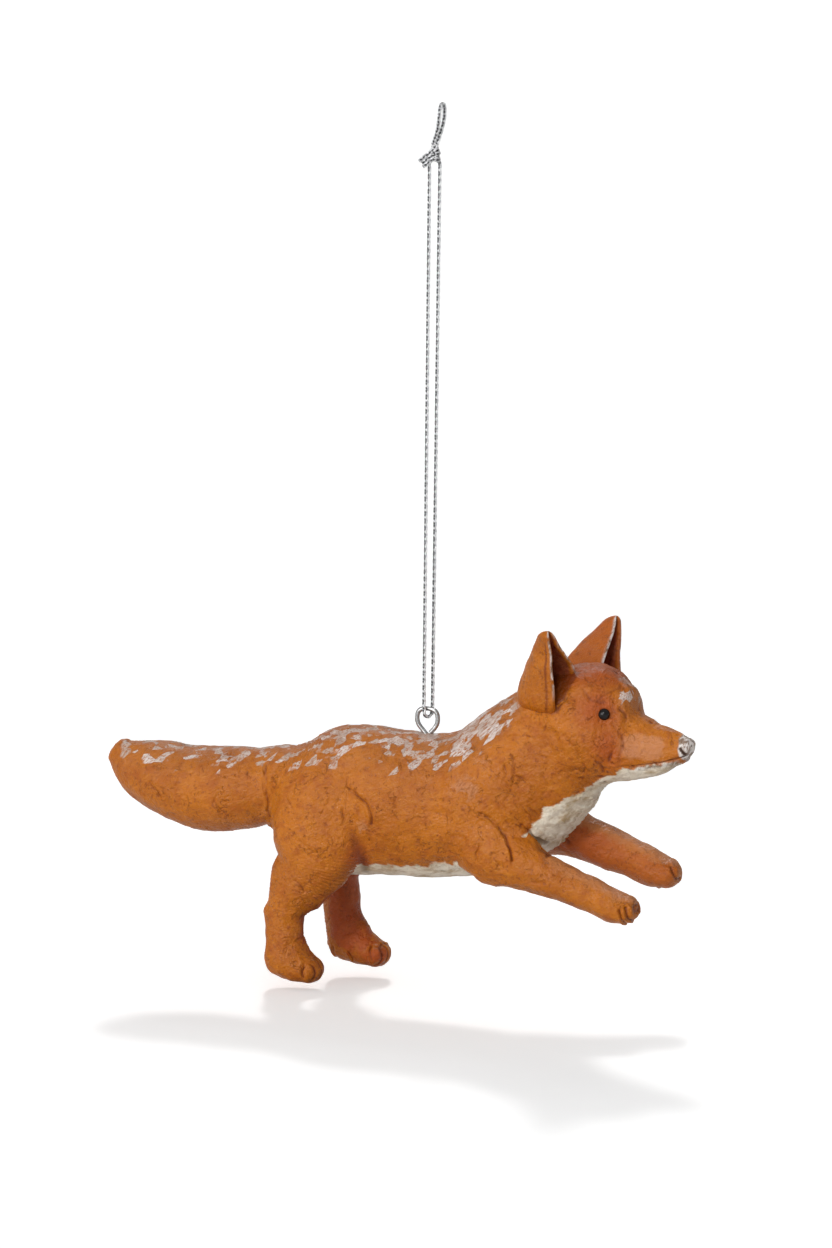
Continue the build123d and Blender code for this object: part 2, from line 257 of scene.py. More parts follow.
upright, beside = (0, 0, 1), (0.61, 0.22, -0.76)
knot_lines = [
    (coil(1.6, 1.05, -0.75, 0.45, -0.34, 0.4), upright),
    (coil(1.6, 0.98, 0.25, 1.35, 0.30, 2.6), upright),
    (coil(1.2, 0.66, 1.10, 2.05, -0.24, 0.9), upright),
    (bent([(-0.8, 0.0, -0.9), (-0.35, -0.35, 0.6), (-0.45, -0.1, 2.4)]), (0, 1, 0)),
    (bent([(0.8, 0.1, -0.9), (0.45, 0.35, 0.6), (0.35, 0.1, 2.4)]), (0, 1, 0)),
]
for aside, cut in ((-0.72, 1.0), (0.0, 0.93), (0.72, 1.04)):
    ends = np.array([(0.3, -0.75, 1.0), (-0.9, -1.25, 0.0), (-2.3, -1.7, -1.2)]) * [[1], [1], [cut]]
    knot_lines.append((bent(ends + aside * np.array(beside)), beside))
knot_tubes, knot_unders = [], []
for line, sideways in knot_lines:
    tubes, unders, length = braid(line, sideways, 0.12)
    knot_tubes += tubes
    knot_unders += unders
cord_knot = write_mesh("silver_cord_knot", knot_tubes, {"under": np.concatenate(knot_unders)})

# %% [markdown]
# ## Screw eye
# A bought screw eye is one nickel-plated steel wire. It leaves its shank, goes up one side, over the
# cord and down the other side, where its cut end rests on the shank, so that it reads as a drop
# and not as a ring. A round wire follows that drawn line, and its end is cut flat.

# %% The wire of the screw eye
eye_route = [
    (-1.60, 0, -133.5), (-1.60, 0, -131.0), (-1.60, 0, -129.5), (-2.35, 0, -128.7), (-3.95, 0, -126.9),
    (-3.75, 0, -124.35), (-1.65, 0, -123.75), (0.45, 0, -124.35), (0.75, 0, -126.6), (-0.10, -0.05, -128.1),
    (-0.85, -0.1, -128.85),
]


def round_wire(points, radius, step, sides):
    """A round tube along a line in the XZ plane: at each point the ring's radius runs along Y and
    along the line's own normal. The two ends are closed flat by a pole at their centre."""
    line, s = even_steps(points, step)
    ahead = unit(np.gradient(line, axis=0))
    side = np.tile([0.0, 1.0, 0.0], (len(line), 1))
    normal = np.cross(ahead, side)
    a = np.arange(sides) * 2 * np.pi / sides
    around = np.cos(a)[None, :, None] * side[:, None] + np.sin(a)[None, :, None] * normal[:, None]
    ring = (line[:, None] + radius * around).reshape(-1, 3)
    return np.concatenate([ring, line[:1], line[-1:]]), *tube_faces(len(line), sides)


eye_line = read_curve("eye_line", eye_route, 40)
wire_eye = write_mesh("nickel_screw_eye", [round_wire(eye_line, radius=0.49, step=0.08, sides=40)])

# %% [markdown]
# ## Shapes as fields
# The fox was built up from masses of clay that run into each other. Stretching one mesh over it, or
# joining lumps with a boolean, would leave hard seams. Instead each mass is a row of ovals along a
# spine, and a formula gives the distance of any point from it. Distances are joined with a soft
# minimum, which fills the corners between masses as a thumb would. Each piece is then found by
# going out from its own spine along fixed rays until that joint distance is zero.

# %% Lumps: ovals along a spine


def spline(knots, values, where):
    """A natural cubic through the knots: on each span the value is a cubic whose slope and bend
    run on into the next span, and the bend is zero at both ends."""
    knots, values = np.asarray(knots, float), np.asarray(values, float)
    n, h = len(knots), np.diff(knots)
    matrix, rhs, i = np.eye(n), np.zeros_like(values), np.arange(1, n - 1)
    matrix[i, i - 1], matrix[i, i], matrix[i, i + 1] = h[:-1], 2 * (h[:-1] + h[1:]), h[1:]
    slope = np.diff(values, axis=0) / h[:, None]
    rhs[1:-1] = 6 * np.diff(slope, axis=0)
    bend = np.linalg.solve(matrix, rhs)
    k = np.clip(np.searchsorted(knots, where, "right") - 1, 0, n - 2)
    t, u, w = (where - knots[k])[:, None], (knots[k + 1] - where)[:, None], h[k][:, None]
    return (
        (bend[k] * u ** 3 + bend[k + 1] * t ** 3) / (6 * w)
        + (values[k] / w - bend[k] * w / 6) * u
        + (values[k + 1] / w - bend[k + 1] * w / 6) * t
    )


def lump(rows, turn=0.0, caps=(None, None), count=64):
    """A mass from rows of x, y, z, half width, half height up, half height down and lean. The rows
    are drawn out to many ovals by the spline over the distance along the spine. The caps say how
    far its two ends bulge, where the ovals' own size doesn't."""
    rows = np.array(rows, float)
    run = np.r_[0, np.cumsum(np.linalg.norm(np.diff(rows[:, :3], axis=0), axis=1))]
    s = np.linspace(0, run[-1], count)
    drawn = spline(run, rows, s)
    lean, yaw = np.radians(drawn[:, 6]), math.radians(turn)
    ahead = np.stack([np.cos(lean) * np.cos(yaw), np.cos(lean) * np.sin(yaw), np.sin(lean)], 1)
    across = np.tile([-math.sin(yaw), math.cos(yaw), 0.0], (count, 1))
    rounded = [0.42 * (row[3] + (row[4] + row[5]) / 2) for row in (drawn[0], drawn[-1])]
    reach = [cap or own for cap, own in zip(caps, rounded)]
    return {
        "centre": drawn[:, :3], "sizes": np.maximum(drawn[:, 3:6], 0.2), "ahead": ahead, "across": across,
        "up": np.cross(ahead, across), "caps": reach, "step": s[1] - s[0],
        "drift": np.gradient(drawn[:, :3], axis=0), "swell": np.gradient(drawn[:, 3:6], axis=0),
    }


def distance(form, p):
    """Distance in mm from points to one mass, negative inside. The nearest oval is slid along the
    spine to the point; then the point's radius, less that radius over its share of the oval's
    own, is how far it stands from the skin. Past an end the cap's reach joins as a third half axis."""
    c = form["centre"].astype(np.float32)
    q = p.astype(np.float32)
    j = np.argmin((c ** 2).sum(1)[None] - 2 * q @ c.T, axis=1)
    off = p - form["centre"][j]
    along = (off * form["ahead"][j]).sum(1)
    last = len(c) - 1
    share = np.clip(along / form["step"], -0.75, 0.75)
    share = np.where((j == 0) & (along < 0) | (j == last) & (along > 0), 0.0, share)
    off = off - share[:, None] * form["drift"][j]
    sizes = form["sizes"][j] + share[:, None] * form["swell"][j]
    side, high = (off * form["across"][j]).sum(1), (off * form["up"][j]).sum(1)
    over = np.where(j == 0, np.minimum(along, 0) / form["caps"][0], 0.0)
    over = np.where(j == last, np.maximum(along, 0) / form["caps"][1], over)
    beyond = over * np.where(j == 0, form["caps"][0], form["caps"][1])
    tall = np.where(high > 0, sizes[:, 1], sizes[:, 2])
    part = np.sqrt((side / sizes[:, 0]) ** 2 + (high / tall) ** 2 + over ** 2) + 1e-6
    return np.sqrt(side ** 2 + high ** 2 + beyond ** 2) * (1 - 1 / part)


def soft_min(a, b, reach):
    """The smaller of two distances, lowered by up to a quarter of the reach where they are alike."""
    h = np.clip(0.5 + 0.5 * (b - a) / reach, 0, 1)
    return b + (a - b) * h - reach * h * (1 - h)


# %% [markdown]
# ### The fox's masses
# Each row is one oval: place, half width, half height above and below the spine, and lean. They
# follow the solids, with more shape where the photograph shows it: the stop of the brow, the
# haunch, the hock and the paws.

# %% Rows of ovals for the masses
neck_end = np.array([31.0, 0.0, -124.63])
head_yaw = -12.0


def on_head(rows):
    """Rows given as forward, left and up from the neck's end, moved to the head's place and yaw."""
    rows = np.array(rows, float)
    a = math.radians(head_yaw)
    s, y, t = rows[:, 0].copy(), rows[:, 1].copy(), rows[:, 2].copy()
    rows[:, 0] = neck_end[0] + s * math.cos(a) - y * math.sin(a)
    rows[:, 1] = neck_end[1] + s * math.sin(a) + y * math.cos(a)
    rows[:, 2] = neck_end[2] + t
    return rows


def head_place(p):
    """Forward, left and up of points as the head sees them."""
    a = math.radians(head_yaw)
    off = p - neck_end
    forward = off[:, 0] * math.cos(a) + off[:, 1] * math.sin(a)
    left = off[:, 1] * math.cos(a) - off[:, 0] * math.sin(a)
    return np.stack([forward, left, off[:, 2]], 1)


torso = lump([
    (-34.00, 0, -141.77, 7.25, 7.5, 7.5, 0),
    (-29.97, 0, -143.26, 10.0, 10.7, 10.7, 0),
    (-23.99, 0, -144.28, 11.9, 14.1, 14.1, 0),
    (-16.00, 0, -144.16, 12.2, 15.8, 15.2, 0),
    (-5.99, 0, -144.31, 12.4, 15.2, 14.9, 0),
    (4.03, 0, -143.78, 12.2, 14.8, 14.6, 8),
    (13.97, 0, -140.59, 11.9, 15.2, 15.0, 20),
    (21.51, 0, -134.39, 11.0, 14.7, 14.7, 35),
    (26.97, 0, -128.97, 10.1, 13.3, 13.3, 37),
    (31.00, 0, -124.63, 8.6, 10.8, 10.8, 37),
])
skull = lump(on_head([
    (-7.0, 0, 1.0, 6.0, 7.2, 7.0, 0),
    (-3.0, 0, 0.6, 9.0, 10.8, 10.2, 0),
    (2.8, 0, 0.0, 10.2, 12.5, 11.8, 0),
    (6.6, 0, -0.2, 9.4, 12.1, 11.4, 0),
    (10.0, 0, -0.4, 7.4, 10.3, 9.8, 0),
    (12.4, 0, -0.6, 5.4, 8.3, 7.6, 0),
]), head_yaw, (None, 1.7))
muzzle = lump(on_head([
    (6.8, 0, -3.0, 7.6, 8.4, 8.1, 0),
    (12.0, 0, -3.1, 6.3, 7.3, 7.6, 0),
    (16.0, 0, -3.2, 5.1, 6.1, 6.4, 0),
    (20.0, 0, -3.4, 4.1, 4.7, 5.1, 0),
    (23.4, 0, -3.2, 3.1, 3.5, 3.3, -8),
    (25.6, 0, -2.9, 2.3, 2.3, 2.2, -26),
]), head_yaw, (None, 1.5))
tail = lump([
    (-31.40, 0, -141.77, 7.0, 7.4, 7.4, 0),
    (-39.20, 0, -142.91, 7.9, 8.2, 8.2, -4),
    (-47.00, 0, -143.97, 8.5, 8.8, 8.8, 0),
    (-54.41, 0, -143.62, 8.0, 8.4, 8.4, 12),
    (-60.65, 0, -141.94, 6.9, 7.3, 7.6, 20),
    (-65.72, 0, -139.60, 5.1, 5.4, 6.0, 30),
    (-69.10, 0, -136.90, 2.9, 2.5, 4.0, 44),
], 180.0, (None, 1.9))
foreleg_rows = np.array([
    (13.52, 8.25, -150.17, 4.4, 6.2, 6.2, -25),
    (19.50, 8.25, -152.41, 4.6, 5.7, 5.9, -24),
    (25.64, 8.25, -154.52, 4.2, 4.3, 4.3, -22),
    (33.08, 8.25, -157.02, 3.8, 3.9, 3.9, -19),
    (38.81, 8.25, -159.13, 3.7, 3.6, 3.5, -17),
    (42.62, 8.25, -160.54, 4.1, 3.3, 3.3, -12),
    (44.54, 8.25, -160.92, 3.7, 2.9, 2.8, -8),
])
hindleg_rows = np.array([
    (-22.00, 8.2, -142.98, 4.6, 8.7, 8.7, -90),
    (-22.00, 8.2, -148.98, 5.6, 9.6, 9.8, -90),
    (-22.29, 8.2, -154.49, 5.5, 8.6, 9.0, -90),
    (-23.39, 8.2, -158.48, 4.8, 6.4, 7.4, -90),
    (-26.20, 8.2, -162.47, 4.2, 4.7, 6.0, -90),
    (-28.77, 8.2, -166.46, 3.5, 3.8, 4.2, -90),
    (-29.43, 8.2, -170.98, 3.3, 3.9, 4.0, -90),
    (-28.58, 8.2, -175.47, 3.6, 4.2, 4.2, -90),
])
far_hindleg_rows = hindleg_rows.copy()  # its thigh is slimmer in front
far_hindleg_rows[2:5, 0] -= (0.8, 1.7, 1.6)
far_hindleg_rows[1:5, 4] -= (0.6, 2.2, 2.2, 1.3)
far_hindleg_rows[4, 5] -= 0.6
foot_rows = np.array([
    (-30.73, 8.2, -177.28, 3.5, 3.3, 3.2, -8),
    (-27.16, 8.2, -178.00, 4.0, 3.5, 3.5, -12),
    (-23.90, 8.2, -178.94, 4.2, 3.0, 2.9, -16),
])


def limb(rows, side, shift=(0, 0, 0), stride=0.0):
    """The rows put on one side of the fox, moved, and swung forward in step with their depth."""
    out = np.array(rows, float)
    out[:, 1] *= side
    out[:, :3] += shift
    out[:, 0] += stride * np.maximum(-142.98 - rows[:, 2], 0) / 34.2
    return out


far_foreleg_rows = foreleg_rows * [1, 1, 1, 1.05, 1.10, 1.12, 1]
far_hind = ((0, 0, 1.1), 8.1)
masses = {
    "torso": [torso],
    "head": [skull, muzzle],
    "tail": [tail],
    "foreleg_right": [lump(limb(foreleg_rows, -1))],
    "foreleg_left": [lump(limb(far_foreleg_rows, 1, (3.47, 0, 4.99)))],
    "hindleg_right": [lump(limb(hindleg_rows, -1)), lump(limb(foot_rows, -1))],
    "hindleg_left": [lump(limb(far_hindleg_rows, 1, *far_hind)), lump(limb(foot_rows, 1, *far_hind))],
}
softness = dict.fromkeys(masses, 2.2) | {"torso": 1.0, "head": 3.0, "tail": 1.6}
inner_softness = {"head": 1.9, "hindleg_right": 2.4, "hindleg_left": 2.4}
boxes = {}
for name, forms in masses.items():
    centres = np.concatenate([f["centre"] for f in forms])
    widest = max(f["sizes"].max() for f in forms)
    boxes[name] = (centres.min(0) - widest - 4, centres.max(0) + widest + 4)


def all_distances(p):
    """Distance of points to each named mass, worked out only near it and taken as far elsewhere."""
    found = {}
    for name, forms in masses.items():
        out = np.full(len(p), 60.0)
        low, high = boxes[name]
        near = ((p > low) & (p < high)).all(1)
        if near.any():
            here = distance(forms[0], p[near])
            for form in forms[1:]:
                here = soft_min(here, distance(form, p[near]), inner_softness[name])
            out[near] = here
        found[name] = out
    return found


# %% [markdown]
# ## The modeller's marks
# Under the paint the surface is uneven: thumbed hollows a few millimetres wide, finer ripples,
# short strokes of a tool, pressed creases at shoulder, hip and tail, toes and a mouth. Smooth
# random values on a lattice give the first two, a random stroke in each cell of a lattice the
# third, and short drawn lines with a rounded cross-section the others.

# %% Random clouds and drawn lines


def clouds(p, size, seed):
    """Smooth random values from -1 to 1: a random number at each corner of a lattice of that size in
    mm, mixed over each cell with an S-shaped weight along every axis."""
    q = p / size + seed * 17.31
    cell = np.floor(q).astype(np.int64)
    f = q - cell
    w = f * f * f * (f * (f * 6 - 15) + 10)
    total = np.zeros(len(p))
    for dx in (0, 1):
        for dy in (0, 1):
            for dz in (0, 1):
                k = (cell[:, 0] + dx) * 73856093 ^ (cell[:, 1] + dy) * 19349663 ^ (cell[:, 2] + dz) * 83492791
                k = (k ^ (k >> 13)) * 1274126177
                value = ((k ^ (k >> 16)) & 65535) / 32767.5 - 1
                weight = np.abs(1 - dx - w[:, 0]) * np.abs(1 - dy - w[:, 1]) * np.abs(1 - dz - w[:, 2])
                total += value * weight
    return total


def step_up(x, low, high):
    """Zero below low, one above high, and an S-shaped rise between."""
    t = np.clip((x - low) / (high - low), 0, 1)
    return t * t * (3 - 2 * t)


def near_line(p, points, width):
    """One on a drawn line, falling off as a bell over the width: the distance to the nearest of the
    line's straight spans, put in a Gaussian."""
    points = np.array(points, float)
    best = np.full(len(p), 1e9)
    for a, b in zip(points[:-1], points[1:]):
        t = np.clip(((p - a) @ (b - a)) / ((b - a) @ (b - a)), 0, 1)
        best = np.minimum(best, ((p - a - t[:, None] * (b - a)) ** 2).sum(1))
    return np.exp(-best / (width * width))


def strokes(p, size, seed, length, width, slope):
    """Short pressed strokes, from 0 to 1: each cell of a lattice holds one at a random place with a
    random strength, lying near a slope given in degrees in the fox's side view and swung by up to
    40 degrees; along it and across it the strength falls off as a bell."""
    q = p / size + seed * 9.17
    cell = np.floor(q).astype(np.int64)
    best = np.zeros(len(p))
    for n in range(27):
        k = cell + np.array([n % 3 - 1, n // 3 % 3 - 1, n // 9 - 1])
        code = k[:, 0] * 92837111 ^ k[:, 1] * 689287499 ^ k[:, 2] * 283923481
        code = (code ^ (code >> 15)) * 2246822519
        code = code ^ (code >> 13)
        place = np.stack([(code >> shift & 255) / 255.0 for shift in (0, 8, 16)], 1)
        turn = np.radians(slope + ((code >> 24 & 255) / 255.0 - 0.5) * 80)
        strong = (code >> 32 & 255) / 255.0
        off = (q - k - place) * size
        run = off[:, 0] * np.cos(turn) + off[:, 2] * np.sin(turn)
        aside2 = (off ** 2).sum(1) - run ** 2
        best = np.maximum(best, strong ** 2 * np.exp(-(run / length) ** 2 - aside2 / width ** 2))
    return best


def drawn_lines(seen, lines):
    """The deepest at each point of many drawn lines, each with its own width and depth."""
    return np.maximum.reduce([depth * near_line(seen, points, width) for points, width, depth in lines])


creases = [  # places seen from the side as x and z, width and depth in mm
    ([(-14.2, -139.4), (-13.4, -140.4), (-11.5, -141.4), (-10.2, -142.6), (-9.3, -144.0), (-9.0, -145.3),
      (-9.3, -146.9)], 0.22, 0.50),
    ([(-14.9, -137.0), (-14.6, -140.0), (-14.8, -143.0)], 0.26, 0.20),
    ([(-15.4, -143.6), (-15.0, -145.2), (-15.3, -146.6)], 0.22, 0.35),
    ([(-11.9, -143.0), (-11.7, -144.2)], 0.25, 0.30),
    ([(-13.6, -149.6), (-12.8, -152.4), (-12.4, -155.0), (-13.0, -157.8)], 1.30, 0.40),
    ([(14.2, -142.8), (16.3, -143.6), (18.0, -145.2), (19.6, -147.2), (20.8, -149.2), (21.6, -151.6)],
     0.26, 0.60),
    ([(22.4, -144.8), (23.6, -146.6), (24.6, -148.0), (26.6, -149.8), (28.0, -150.8)], 0.55, 0.62),
    ([(14.4, -149.2), (13.6, -151.0), (13.9, -152.4)], 0.24, 0.30),
    ([(18.2, -151.8), (18.8, -153.0)], 0.28, 0.25),
    ([(18.9, -132.5), (19.4, -134.1), (19.0, -135.6)], 0.22, 0.35),
    ([(20.5, -132.6), (21.0, -134.0), (21.1, -135.6)], 0.22, 0.40),
    ([(20.9, -133.2), (21.9, -134.6), (22.8, -134.9)], 0.22, 0.35),
    ([(19.3, -136.0), (20.6, -137.6), (19.4, -139.7)], 0.22, 0.30),
    ([(22.9, -140.6), (24.2, -142.6), (24.4, -143.8)], 0.22, 0.32),
    ([(24.1, -140.6), (25.9, -143.0)], 0.24, 0.30),
    ([(20.9, -142.1), (22.5, -144.9)], 0.22, 0.30),
    ([(-60.2, -142.2), (-57.4, -145.2)], 0.24, 0.35),
    ([(-44.0, -147.2), (-45.6, -145.0), (-44.4, -143.6)], 0.30, 0.22),
    ([(-27.9, -142.6), (-26.4, -144.7)], 0.24, 0.35),
    ([(-24.6, -151.0), (-20.6, -153.2), (-18.0, -151.7)], 0.24, 0.22),
    ([(-18.1, -142.1), (-19.8, -144.8)], 0.22, 0.20),
    ([(-25.4, -159.4), (-23.4, -161.7)], 0.24, 0.30),
    ([(-27.1, -164.7), (-25.3, -163.6)], 0.22, 0.25),
    ([(-28.3, -174.3), (-26.1, -172.8), (-24.8, -171.1)], 0.24, 0.25),
    ([(-34.9, -137.2), (-34.3, -140.6), (-33.7, -144.1), (-33.9, -147.9)], 0.42, 0.42),
    ([(44.2, -160.2), (45.2, -163.9)], 0.26, 0.52),
    ([(45.7, -159.8), (46.5, -163.3)], 0.26, 0.50),
    ([(47.0, -159.6), (47.7, -162.3)], 0.24, 0.42),
    ([(49.7, -154.9), (51.1, -157.9)], 0.24, 0.38),
    ([(51.0, -154.6), (52.0, -157.0)], 0.22, 0.32),
    ([(-23.9, -177.3), (-23.6, -179.8)], 0.24, 0.40),
    ([(-20.3, -178.0), (-19.4, -179.7)], 0.22, 0.35),
    ([(-15.5, -176.3), (-14.9, -179.2)], 0.24, 0.40),
    ([(-13.5, -176.1), (-13.0, -178.4)], 0.22, 0.35),
]
knobs = [  # centre, width, height
    ((-32.6, -8.2, -167.0), 1.5, 0.9), ((-26.0, 8.2, -166.0), 1.5, 0.8),
    ((14.5, -8.6, -155.6), 2.4, 0.9), ((17.8, 8.6, -150.8), 2.4, 0.9),
]


def modelled(p):
    """Height in mm that the modelling adds to the skin: three sizes of clouds, ridges drawn out along
    the body, the knobs as bells, less two sizes of strokes and the creases, each with a lip of clay
    pushed up beside it. Also returned: how much brown wash settles in, partly painted shade in the creases."""
    height = 0.24 * clouds(p, 7.0, 1) + 0.18 * clouds(p, 3.1, 2) + 0.09 * clouds(p, 1.3, 3)
    busy = 0.35 + 0.75 * step_up(clouds(p, 9.0, 5) + 0.06 * (p[:, 0] - 8.0), -0.5, 0.7)
    busy = busy * (1 - 0.75 * step_up(p[:, 0], 24.0, 31.0) * step_up(-p[:, 2], 146.0, 150.0))
    long, short = strokes(p, 3.2, 6, 1.6, 0.34, 35.0), strokes(p, 2.3, 16, 0.9, 0.26, -30.0)
    pressed = busy * np.maximum(long, 0.8 * short)
    ridges = 1 - 2 * np.abs(clouds(p * np.array([0.6, 1.0, 0.8]), 2.0, 4))
    height += 0.12 * busy * ridges - 0.42 * pressed
    for centre, width, rise in knobs:
        height += rise * np.exp(-((p - np.array(centre)) ** 2).sum(1) / width ** 2)
    seen = p[:, [0, 2]] + 0.3 * np.stack([clouds(p, 1.7, seed) for seed in (7, 9)], 1)
    seen[:, 1] -= np.where(p[:, 1] > 0, 0.6, 0.0)
    dip, lip = drawn_lines(seen, creases), drawn_lines(seen + np.array([0.42, 0.30]), creases)
    flank = step_up(np.abs(p[:, 1]), 2.5, 4.5)
    return height + flank * (0.5 * lip - dip), np.maximum(0.5 * flank * dip, 0.34 * pressed)


# %% [markdown]
# ## From rays to a skin
# A piece's rays start on its own spine and fan out round its two ends. Walking each ray by the
# joint distance, a few times over, ends on the blended skin. Where another mass covers the piece,
# its skin is let in a little, so that two pieces never lie exactly in each other.

# %% Walk the rays


def walk(name, form, rings, spokes, cap_rings, farthest=3.0, extra=None):
    """A grid on the blended skin round one spine. Ring and spoke give a ray: its start runs along the
    spine, its direction is the cosine of the spoke's angle across plus the sine of it up, and in
    the end rings it tips towards the end. The radius is lessened by the distance until that is zero."""
    n = len(form["centre"]) - 1
    u = np.r_[np.zeros(cap_rings), np.linspace(0, n, rings), np.full(cap_rings, n)]
    tip = np.linspace(86, 90.0 / (cap_rings + 1), cap_rings)
    tilt = np.radians(np.r_[-tip, np.zeros(rings), tip[::-1]])
    where = np.arange(n + 1)

    def along(values):
        return np.stack([np.interp(u, where, values[:, k]) for k in range(values.shape[1])], 1)

    start, sizes = along(form["centre"]), along(form["sizes"])
    across, up, ahead = along(form["across"]), along(form["up"]), along(form["ahead"])
    a = np.arange(spokes) * 2 * np.pi / spokes
    flat = np.cos(a)[None, :, None] * across[:, None] + np.sin(a)[None, :, None] * up[:, None]
    ray = flat * np.cos(tilt)[:, None, None] + ahead[:, None] * np.sin(tilt)[:, None, None]
    tall = np.where(np.sin(a)[None] > 0, sizes[:, 1:2], sizes[:, 2:3])
    cap = np.where(tilt < 0, form["caps"][0], form["caps"][1])[:, None]
    own = 1 / np.sqrt(
        (np.cos(a)[None] * np.cos(tilt)[:, None] / sizes[:, 0:1]) ** 2
        + (np.sin(a)[None] * np.cos(tilt)[:, None] / tall) ** 2 + (np.sin(tilt)[:, None] / cap) ** 2
    )
    poles = np.stack([start[0], start[-1]])
    pole_rays = np.stack([-ahead[0], ahead[-1]])
    begin = np.concatenate([np.repeat(start, spokes, axis=0), poles])
    ray = np.concatenate([ray.reshape(-1, 3), pole_rays])
    own = np.r_[own.ravel(), form["caps"]]
    radius = own.copy()
    height = dip = 0.0
    pull, sunk, least = 0.85, 0.12, 0.25  # share walked per turn, mm let in, least share of its own size
    for turn in range(10):  # seven walks on the bare skin, then the modelling, then three more
        p = begin + radius[:, None] * ray
        found = all_distances(p)
        joint = None
        for other, value in found.items():
            joint = value if joint is None else soft_min(joint, value, softness[other])
        others = np.min([v for k, v in found.items() if k != name], axis=0)
        let_in = sunk * step_up(found[name] - others, 0.0, 1.0)
        if turn == 7:
            height, dip = modelled(p)
            if extra is not None:
                more, more_dip = extra(p)
                height, dip = height + more, np.maximum(dip, more_dip)
        radius = np.clip(radius - pull * (joint + let_in - height), least * own, own + farthest)
    p = begin + radius[:, None] * ray
    faces = tube_faces(rings + 2 * cap_rings, spokes)
    return p, faces, {"height": height, "wash_and_shade": dip, "ray": ray}


fine = 1.0


def grain(count):
    return int(count * fine)


# %% [markdown]
# ### Toes, nose and mouth
# Grooves over the front of each paw part its toes, and the forepaws have the lines at their sides
# among the creases. Mouth, nostrils and the folds of brow and cheek are lines drawn from the side.

# %% Marks of paws and head


def toes_at(front, middle, sides=(-2.2, -0.3, 1.6)):
    """Grooves that run over the very front of a paw, a bell across each and a rise to the front."""
    def marks(p):
        fade = step_up(p[:, 0], front - 3.4, front - 1.2)
        y = p[:, 1] - middle + 0.25 * (front - p[:, 0])
        groove = sum(np.exp(-((y - side) / 0.26) ** 2) for side in sides)
        return -0.32 * groove * fade, 0.28 * groove * fade
    return marks


face_lines = [  # forward and up from the neck's end as seen from the side, width and depth in mm
    ([(12.8, -6.9), (16.8, -6.5), (20.7, -5.6), (24.2, -4.9), (26.9, -3.8)], 0.22, 0.26),
    ([(11.6, 2.2), (13.5, -0.3), (14.0, -2.9), (13.3, -5.5), (12.7, -7.0)], 0.40, 0.20),
    ([(8.4, 6.6), (9.6, 7.75), (11.0, 8.9), (12.2, 7.9), (12.8, 6.9)], 0.28, 0.24),
    ([(12.2, 4.8), (13.2, 3.6), (13.6, 2.2)], 0.26, 0.25),
    ([(5.1, 8.4), (7.5, 6.6), (9.6, 6.2)], 0.38, 0.24),
    ([(-8.4, 4.6), (-5.7, 3.4), (-2.2, 1.6), (-0.4, 0.9)], 0.34, 0.25),
    ([(-7.5, -7.6), (-5.8, -8.0), (-2.3, -8.7), (0.5, -9.9), (3.0, -9.6), (4.6, -8.2)], 0.42, 0.32),
    ([(5.6, -8.6), (6.4, -7.4), (6.0, -6.2)], 0.24, 0.30),
    ([(-4.6, -4.0), (-3.4, -5.8), (-1.8, -6.6)], 0.38, 0.22),
    ([(1.0, 4.8), (2.8, 6.8), (4.4, 6.2)], 0.24, 0.22),
    ([(3.0, -1.0), (5.2, -3.0), (5.8, -5.2)], 0.38, 0.24),
    ([(8.2, -4.8), (9.4, -6.6), (9.2, -8.4)], 0.38, 0.26),
    ([(25.3, -2.4), (25.7, -3.0), (26.1, -3.6)], 0.32, 0.40),
]


def face_marks(p):
    """Brows, cheeks and nose pad that stand out and the bead's bed let in, all as bells round places
    given forward, left and up from the neck's end; less the lines, drawn as seen from the side."""
    q = head_place(p)
    far = np.abs(q[:, 1])

    def bell(s, y, t, width):
        return np.exp(-((q[:, 0] - s) ** 2 + (far - y) ** 2 + (q[:, 2] - t) ** 2) / width ** 2)

    height = 0.8 * bell(13.2, 1.8, 7.6, 1.8) + 0.4 * bell(5.5, 8.6, -3.5, 4.5)
    height += 0.3 * bell(26.2, 0.9, -1.0, 1.1) - 0.65 * bell(10.0, 7.0, 3.5, 2.1)
    height -= 0.35 * bell(16.0, 4.8, -0.5, 3.0)
    seen = q[:, [0, 2]] + 0.22 * np.stack([clouds(p, 1.5, 14), clouds(p, 1.5, 15)], 1)
    dip = drawn_lines(seen, face_lines) * step_up(far, 0.5, 1.6)
    return height - dip, 0.62 * dip


# %% The colour marks


belly_edge = np.array([  # x and the height z under which the paint is pale
    (-30, -158), (-12, -156.4), (-9.9, -155.6), (-4.5, -156.0), (2.2, -155.1), (7.9, -153.5), (11.9, -152.6),
    (20, -151), (22, -148.5), (23.6, -146.5), (25.5, -143.5), (27.1, -141.4), (30.1, -139.9), (33.9, -137.7),
    (39.6, -133.8), (43.2, -132.0), (47.3, -131.6), (51.9, -130.9), (55, -130.2), (60, -130.0),
])
ridge_line = np.array([  # x and z of the back's top
    (-72, -134), (-65, -134.5), (-58, -135.2), (-47, -135.2), (-38, -134.8), (-34, -134.4), (-30, -132.8),
    (-24, -130.4), (-16, -128.4), (-6, -129.1), (4, -129.0), (10, -127.6), (16, -124.2), (22, -119.5),
    (28, -114),
])
frost_depth = np.array([  # x and how far down the frost reaches
    (-66, 8.0), (-50, 6.5), (-38, 5.0), (-20, 10.5), (-8, 10.5), (6, 8.5), (16, 7.0), (22, 5.0),
])
rubs = [  # centre and width of the torso's rubbed patches
    ((16.5, -12.4, -147.6), 2.9), ((10.8, -12.2, -137.8), 3.2), ((13.8, -11.6, -132.0), 2.4),
    ((-11.4, -12.6, -147.6), 1.6), ((-17.5, -12.4, -147.0), 3.0),
]


